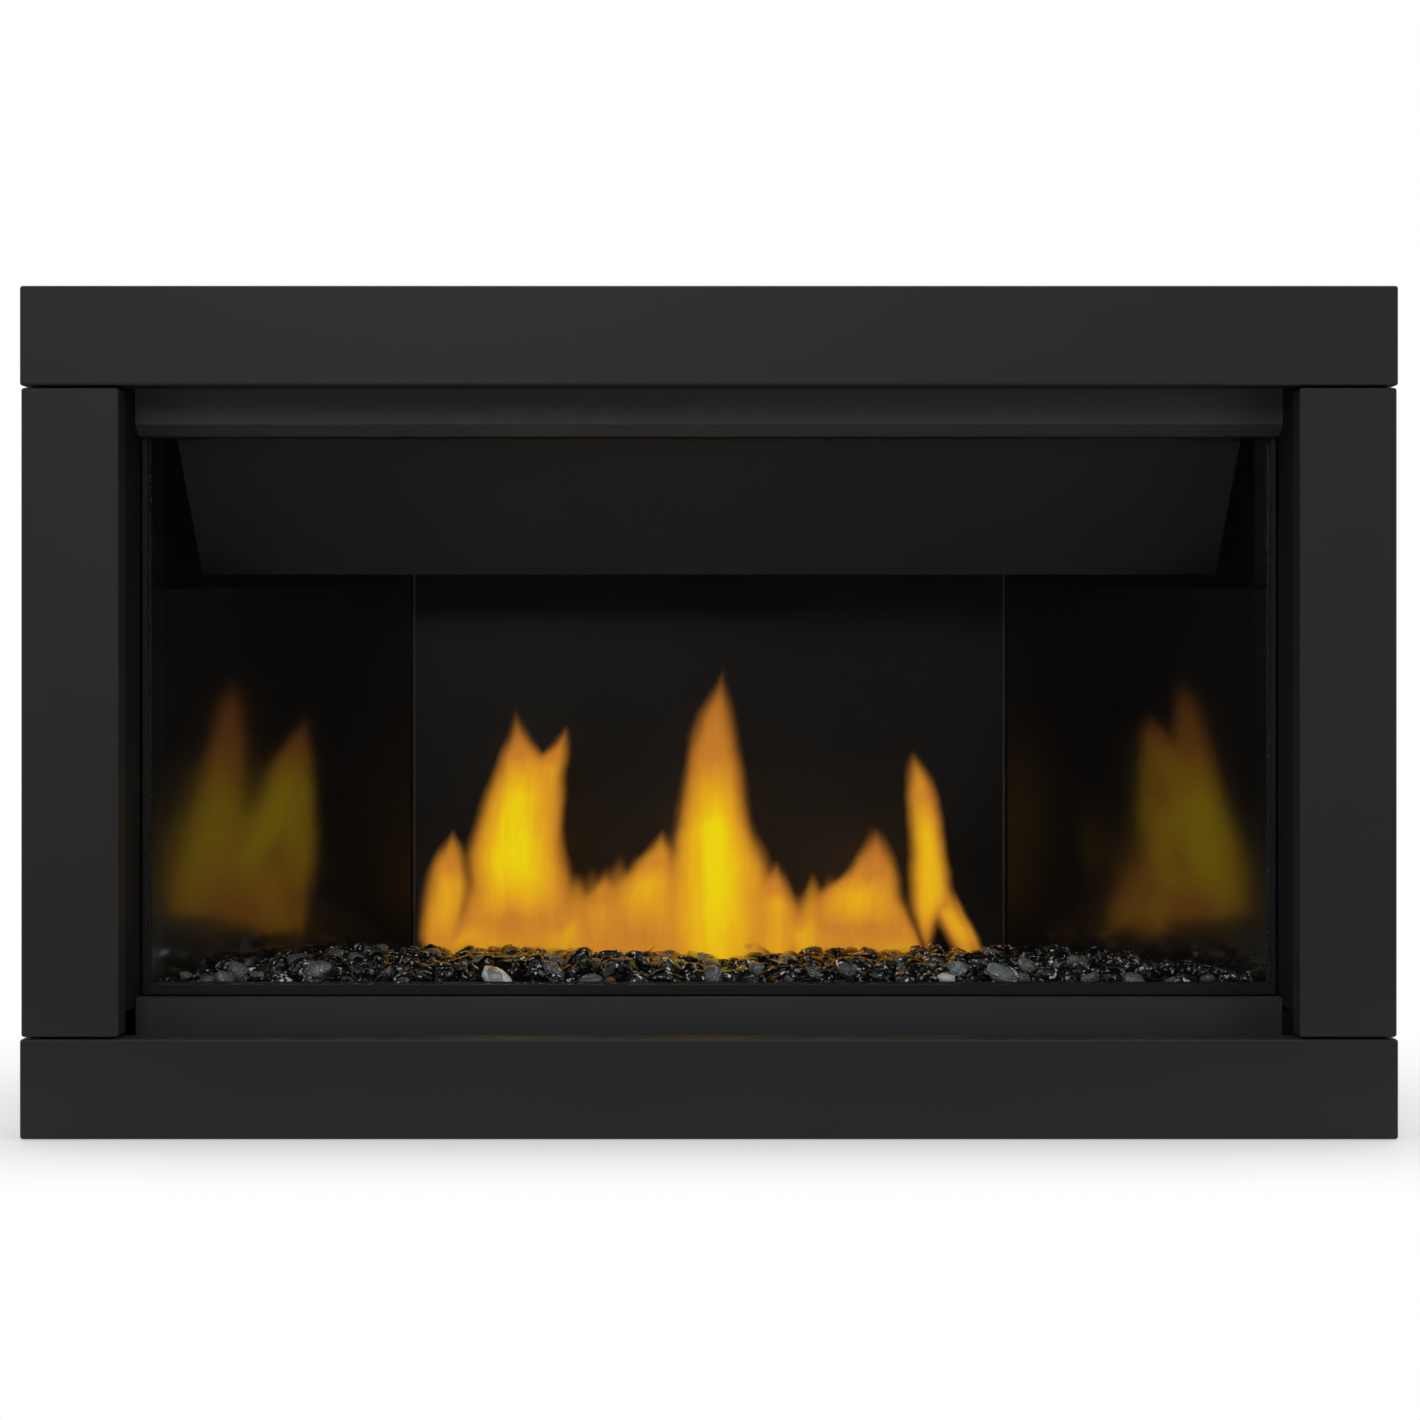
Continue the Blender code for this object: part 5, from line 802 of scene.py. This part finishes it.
def makeFlame(name, depthFoot, depthTip, heats, points, material, chance):
    values = flameValues
    sheets = newSheets()
    for angle in values["angles"]:
        turn = math.radians(angle + chance.uniform(-values["turn"], values["turn"]))
        belly = chance.uniform(-values["belly"], values["belly"])
        rows = []
        for step in range(values["steps"] + 1):
            share = step / values["steps"]
            x, z, half = spline(points, share)
            half = max(half, values["least"]) + values["grow"] * min(1, half / values["growFrom"])
            depth = depthFoot + (depthTip - depthFoot) * share
            row = []
            for place in range(values["across"] + 1):
                t = 2 * place / values["across"] - 1
                bow = belly * half * (1 - t * t)
                across = half * t * math.cos(turn) - bow * math.sin(turn)
                back = (half * t * math.sin(turn) + bow * math.cos(turn)) * values["depthShare"]
                vert = flameVert(sheets, x + across, depth + back, z * values["rise"])
                row.append((vert, (half * t / 10, half / 10), (t * max(math.cos(turn), 0.5), heatAt(heats, share))))
            rows.append(row)
        addSheet(sheets, rows)
    toFlame(name, sheets, material)


# x, depth and height over the flames' foot, in millimetres
def flameVert(sheets, x, depth, height):
    return sheets[0].verts.new((x / 1000, depth / 1000 - depthZero, flameValues["footZ"] + height / 1000))


def makeLowFire(material, chance):
    values = lowFire
    sheets = newSheets()
    for depth in values["depths"]:
        phase = chance.uniform(0, 9)
        columns = []
        for step in range(values["steps"] + 1):
            share = step / values["steps"]
            x, top = spline(values["tops"], share)
            top *= 1 + sum(size * math.sin(x * wave + shift * phase) for size, wave, shift in values["waves"])
            back = values["sway"] * math.sin(x * values["swayWave"] + phase)
            toEnd = min(share, 1 - share) * values["endFade"]
            column = []
            for row in range(values["rows"] + 1):
                up = row / values["rows"]
                vert = flameVert(sheets, x, depth + back, values["foot"] + top * up)
                toEdge = min(toEnd, top * (1 - up)) / 10
                column.append((vert, (0, toEdge), (values["lateral"], heatAt(values["heat"], up))))
            columns.append(column)
        addSheet(sheets, columns)
    toFlame("flameLowFire", sheets, material)


def makeFlames():
    material = makeFlameMaterial()
    chance = random.Random(flameValues["seed"])
    for name, (depthFoot, depthTip, heats, points) in tongues.items():
        makeFlame(name, depthFoot, depthTip, heats, points, material, chance)
    makeLowFire(material, chance)
    print("flames:", len(tongues), "tongues")


makeFlames()


# hex washer head screws
def addScrew(bm, place, axis, size=0.0034):
    washer = [(size * 1.42, 0), (size * 1.42, size * 0.10), (size * 1.30, size * 0.20), (size * 0.9, size * 0.24)]
    lathe(bm, washer, place, axis, 20)
    head = [(size, size * 0.22), (size, size * 0.52), (size * 0.86, size * 0.62), (size * 0.5, size * 0.56)]
    lathe(bm, head, place, axis, 6)


screwValues = {
    "back": 0.1730, "backRows": ((-0.47, -0.31, -0.16, 0.16, 0.31, 0.47), (0.009, 0.605)),
    "backColumns": ((-0.484, 0.484), (0.13, 0.26, 0.39, 0.51)),
    "side": 0.4925, "sideSpots": ((0.164, (0.06, 0.20, 0.34, 0.48, 0.59)), (-0.118, (0.04, 0.30, 0.58))),
    "flange": 0.1745, "flangeRadius": 0.0988, "flangeCount": 8, "vent": (0, 0.480),
}


def makeScrews():
    values = screwValues
    bm = bmesh.new()
    for xs, zs in (values["backRows"], values["backColumns"]):
        for x in xs:
            for z in zs:
                addScrew(bm, (x, values["back"], z), (0, 1, 0))
    for side in (-1, 1):
        for y, heights in values["sideSpots"]:
            for z in heights:
                addScrew(bm, (side * values["side"], y, z), (side, 0, 0))
    ventX, ventZ = values["vent"]
    for step in range(values["flangeCount"]):
        turn = math.tau * (step + 0.5) / values["flangeCount"]
        spot = (ventX + values["flangeRadius"] * math.cos(turn), values["flange"],
                ventZ + values["flangeRadius"] * math.sin(turn))
        addScrew(bm, spot, (0, 1, 0), 0.0030)
    screws = toMesh("caseScrews", bm, finishes["zincPlate"])
    print("screws placed")


makeScrews()


# rolled beads and lock seams of the two vent collars
collarValues = {
    "vent": (0, 0.480), "radii": (0.0889, 0.0508), "seam": (0.0040, 0.0010), "seamBevel": 0.0003,
    "beads": ((0.1960, 0.0, 0.0015), (0.2060, 0.0006, 0.0010)), "seamY": ((0.1750, 0.1935), (0.1760, 0.1935)),
}


def makeCollarDetails():
    values = collarValues
    ventX, ventZ = values["vent"]
    width, rise = values["seam"]
    bm = bmesh.new()
    for radius, (low, high) in zip(values["radii"], values["seamY"]):
        for beadY, inward, thick in values["beads"]:
            sweptTube(bm, ringPath((ventX, beadY, ventZ), radius - inward), thick, 8, closed=True)
        addStrip(bm, (ventX, (low + high) / 2, ventZ - radius), (width, high - low, rise), values["seamBevel"])
    beads = toMesh("collarBeads", bm, finishes["collarSheet"])


def addStrip(bm, middle, size, bevel):
    made = bmesh.ops.create_cube(bm, size=1.0)["verts"]
    bmesh.ops.scale(bm, vec=size, verts=made)
    bmesh.ops.translate(bm, vec=middle, verts=made)
    edges = list({edge for vert in made for edge in vert.link_edges})
    bmesh.ops.bevel(bm, geom=edges, offset=bevel, segments=2, profile=0.5, affect="EDGES")


makeCollarDetails()


# torsion springs that hold the door latches shut, round the pins
springValues = {"pin": (0.250, -0.106, 0.080), "from": 0.0158, "turns": 4, "turnSteps": 16, "pitch": 0.0011,
                "radius": 0.0029, "wire": 0.0004, "legs": (0.0060, 0.0100)}


def makeLatchSprings():
    values = springValues
    pinX, pinY, pinZ = values["pin"]
    for side, word in ((-1, "left"), (1, "right")):
        bm = bmesh.new()
        coil = []
        for step in range(values["turns"] * values["turnSteps"] + 1):
            turns = step / values["turnSteps"]
            coil.append((side * pinX + values["from"] + values["pitch"] * turns,
                         pinY + values["radius"] * math.cos(math.tau * turns),
                         pinZ + values["radius"] * math.sin(math.tau * turns)))
        upLeg, downLeg = values["legs"]
        (firstX, firstY, firstZ), (lastX, lastY, lastZ) = coil[0], coil[-1]
        sweptTube(bm, [(firstX, firstY, firstZ - downLeg)] + coil + [(lastX, lastY, lastZ + upLeg)], values["wire"], 6)
        spring = toMesh(word + "LatchSpring", bm, finishes["zincPlate"])


makeLatchSprings()


# folded hems down both sides of the back panel
def makePanelHems():
    values = {"x": 0.2455, "y": 0.1156, "foot": 0.0965, "head": 0.4225, "radius": 0.0010}
    bm = bmesh.new()
    for side in (-1, 1):
        ends = [(side * values["x"], values["y"], z) for z in (values["foot"], values["head"])]
        sweptTube(bm, ends, values["radius"], 10)
    # the hems take the hood's lightened powder coat, a painted light
    hems = toMesh("backPanelHems", bm, finishes["hoodPaintedLightPowder"])


makePanelHems()


# white pointer rib down the face of the valve knob
def makeKnobPointer():
    values = {"width": 0.0020, "proud": 0.0005, "from": 0.10, "to": 0.86, "bevel": 0.0002}
    low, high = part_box("valve_knob")
    middleX, middleZ = (low[0] + high[0]) / 2, (low[2] + high[2]) / 2
    reach = (high[2] - low[2]) / 2
    length = reach * (values["to"] - values["from"])
    bm = bmesh.new()
    addStrip(bm, (middleX, low[1], middleZ + reach * values["from"] + length / 2),
             (values["width"], values["proud"] * 2, length), values["bevel"])
    pointer = toMesh("knobPointer", bm, finishes["glazedCeramic"], body="knob")


makeKnobPointer()
print("collars, springs, hems and knob pointer made")


def addLamp(name, kind, place, **settings):
    data = bpy.data.lights.new(name, kind)
    for label, value in settings.items():
        setattr(data, label, value)
    return newObject(name, data, place)


# name: place, what it points at, size and power
lampValues = {
    "keyLamp": ((-0.50, -4.0, 1.80), (0, -0.1, 0.3), 1.2, 31),
    "leftLamp": ((-1.75, -2.2, 0.55), (0, -0.1, 0.3), 0.9, 2.5),
    "rightLamp": ((1.75, -2.2, 0.55), (0, -0.1, 0.3), 0.9, 5),
    "topLamp": ((0.2, 0.1, 2.4), (0, 0, 0.3), 1.6, 14),
}
for name, (place, target, size, power) in lampValues.items():
    aim = (Vector(target) - Vector(place)).to_track_quat("-Z", "Y").to_euler()
    addLamp(name, "AREA", place, size=size, energy=power).rotation_euler = aim

# warm light of the fire on the media and the enamel
fireLampValues = {"energy": 0.16, "color": (1.0, 0.42, 0.12), "shadow_soft_size": 0.03}
for index, place in enumerate(((-0.13, 0.062, 0.20), (0.01, 0.060, 0.23), (0.13, 0.062, 0.18))):
    lamp = addLamp("fireLamp" + str(index), "POINT", place, **fireLampValues)
    lamp.visible_glossy = lamp.visible_camera = lamp.visible_transmission = False


# white to the camera; all else sees it pale, with a dark cone straight ahead of the glass
def makeWorld():
    values = {"dark": 0.014, "pale": 0.95, "from": 0.30, "to": 0.85}
    world = bpy.data.worlds.new("studio")
    scene.world = world
    world.use_nodes = True
    tree = world.node_tree
    tree.nodes.clear()
    toward = addNode(tree, "ShaderNodeTexCoord").outputs["Generated"]
    front = times(tree, partOf(tree, toward, 1), -1.0)
    level = remap(tree, front, values["from"], values["to"], values["pale"], values["dark"], smooth=True)
    camera = addNode(tree, "ShaderNodeLightPath").outputs["Is Camera Ray"]
    strength = addNode(tree, "ShaderNodeMix", {0: camera, 2: level, 3: 1.0}).outputs[0]
    shown = addNode(tree, "ShaderNodeBackground", {0: (1, 1, 1, 1), 1: strength})
    out = tree.nodes.new("ShaderNodeOutputWorld")
    tree.links.new(shown.outputs[0], out.inputs[0])


makeWorld()


# floor: pale, plain, turning to the white of the backdrop away from the object
def makeFloor():
    values = {"half": 14.0, "drop": 0.0004, "colour": (0.86, 0.86, 0.86, 1), "rough": 0.7,
              "footprint": (0.495, 0.208), "near": -0.16, "far": 0.24,
              "roomFrom": -0.25, "roomTo": -0.50, "roomLevel": 0.014}
    bm = bmesh.new()
    half = values["half"]
    corners = [bm.verts.new(p) for p in ((-half, -half, 0), (half, -half, 0), (half, half, 0), (-half, half, 0))]
    bm.faces.new(corners)
    mesh = bpy.data.meshes.new("floor")
    bm.to_mesh(mesh)
    bm.free()
    floor = newObject("floor", mesh, (0, 0, -values["drop"]))
    material, tree, shader = newMaterial("paleFloor", Base_Color=values["colour"], Roughness=values["rough"])
    place = addNode(tree, "ShaderNodeSeparateXYZ", {0: placeIn(tree)}).outputs
    squares = []
    for axis, reach in enumerate(values["footprint"]):
        out = math2(tree, "MAXIMUM", minus(tree, math2(tree, "ABSOLUTE", place[axis]), reach), 0.0)
        squares.append(math2(tree, "POWER", out, 2.0))
    away = math2(tree, "SQRT", plus(tree, *squares))
    far = remap(tree, away, values["near"], values["far"], smooth=True)
    ray = addNode(tree, "ShaderNodeLightPath").outputs
    glow = addNode(tree, "ShaderNodeEmission", {0: (1, 1, 1, 1), 1: 1.0}).outputs[0]
    shown = mixShader(tree, times(tree, far, ray["Is Camera Ray"]), shader.outputs[0], glow)
    # the dark room in front of the glass, which the pane and the enamel mirror
    room = remap(tree, place[1], values["roomFrom"], values["roomTo"], smooth=True)
    dark = addNode(tree, "ShaderNodeEmission", {0: (1, 1, 1, 1), 1: values["roomLevel"]}).outputs[0]
    shown = mixShader(tree, times(tree, room, ray["Is Glossy Ray"]), shown, dark)
    feed(tree, tree.nodes["Material Output"], Surface=shown)
    mesh.materials.append(material)


makeFloor()
print("stage and light ready")
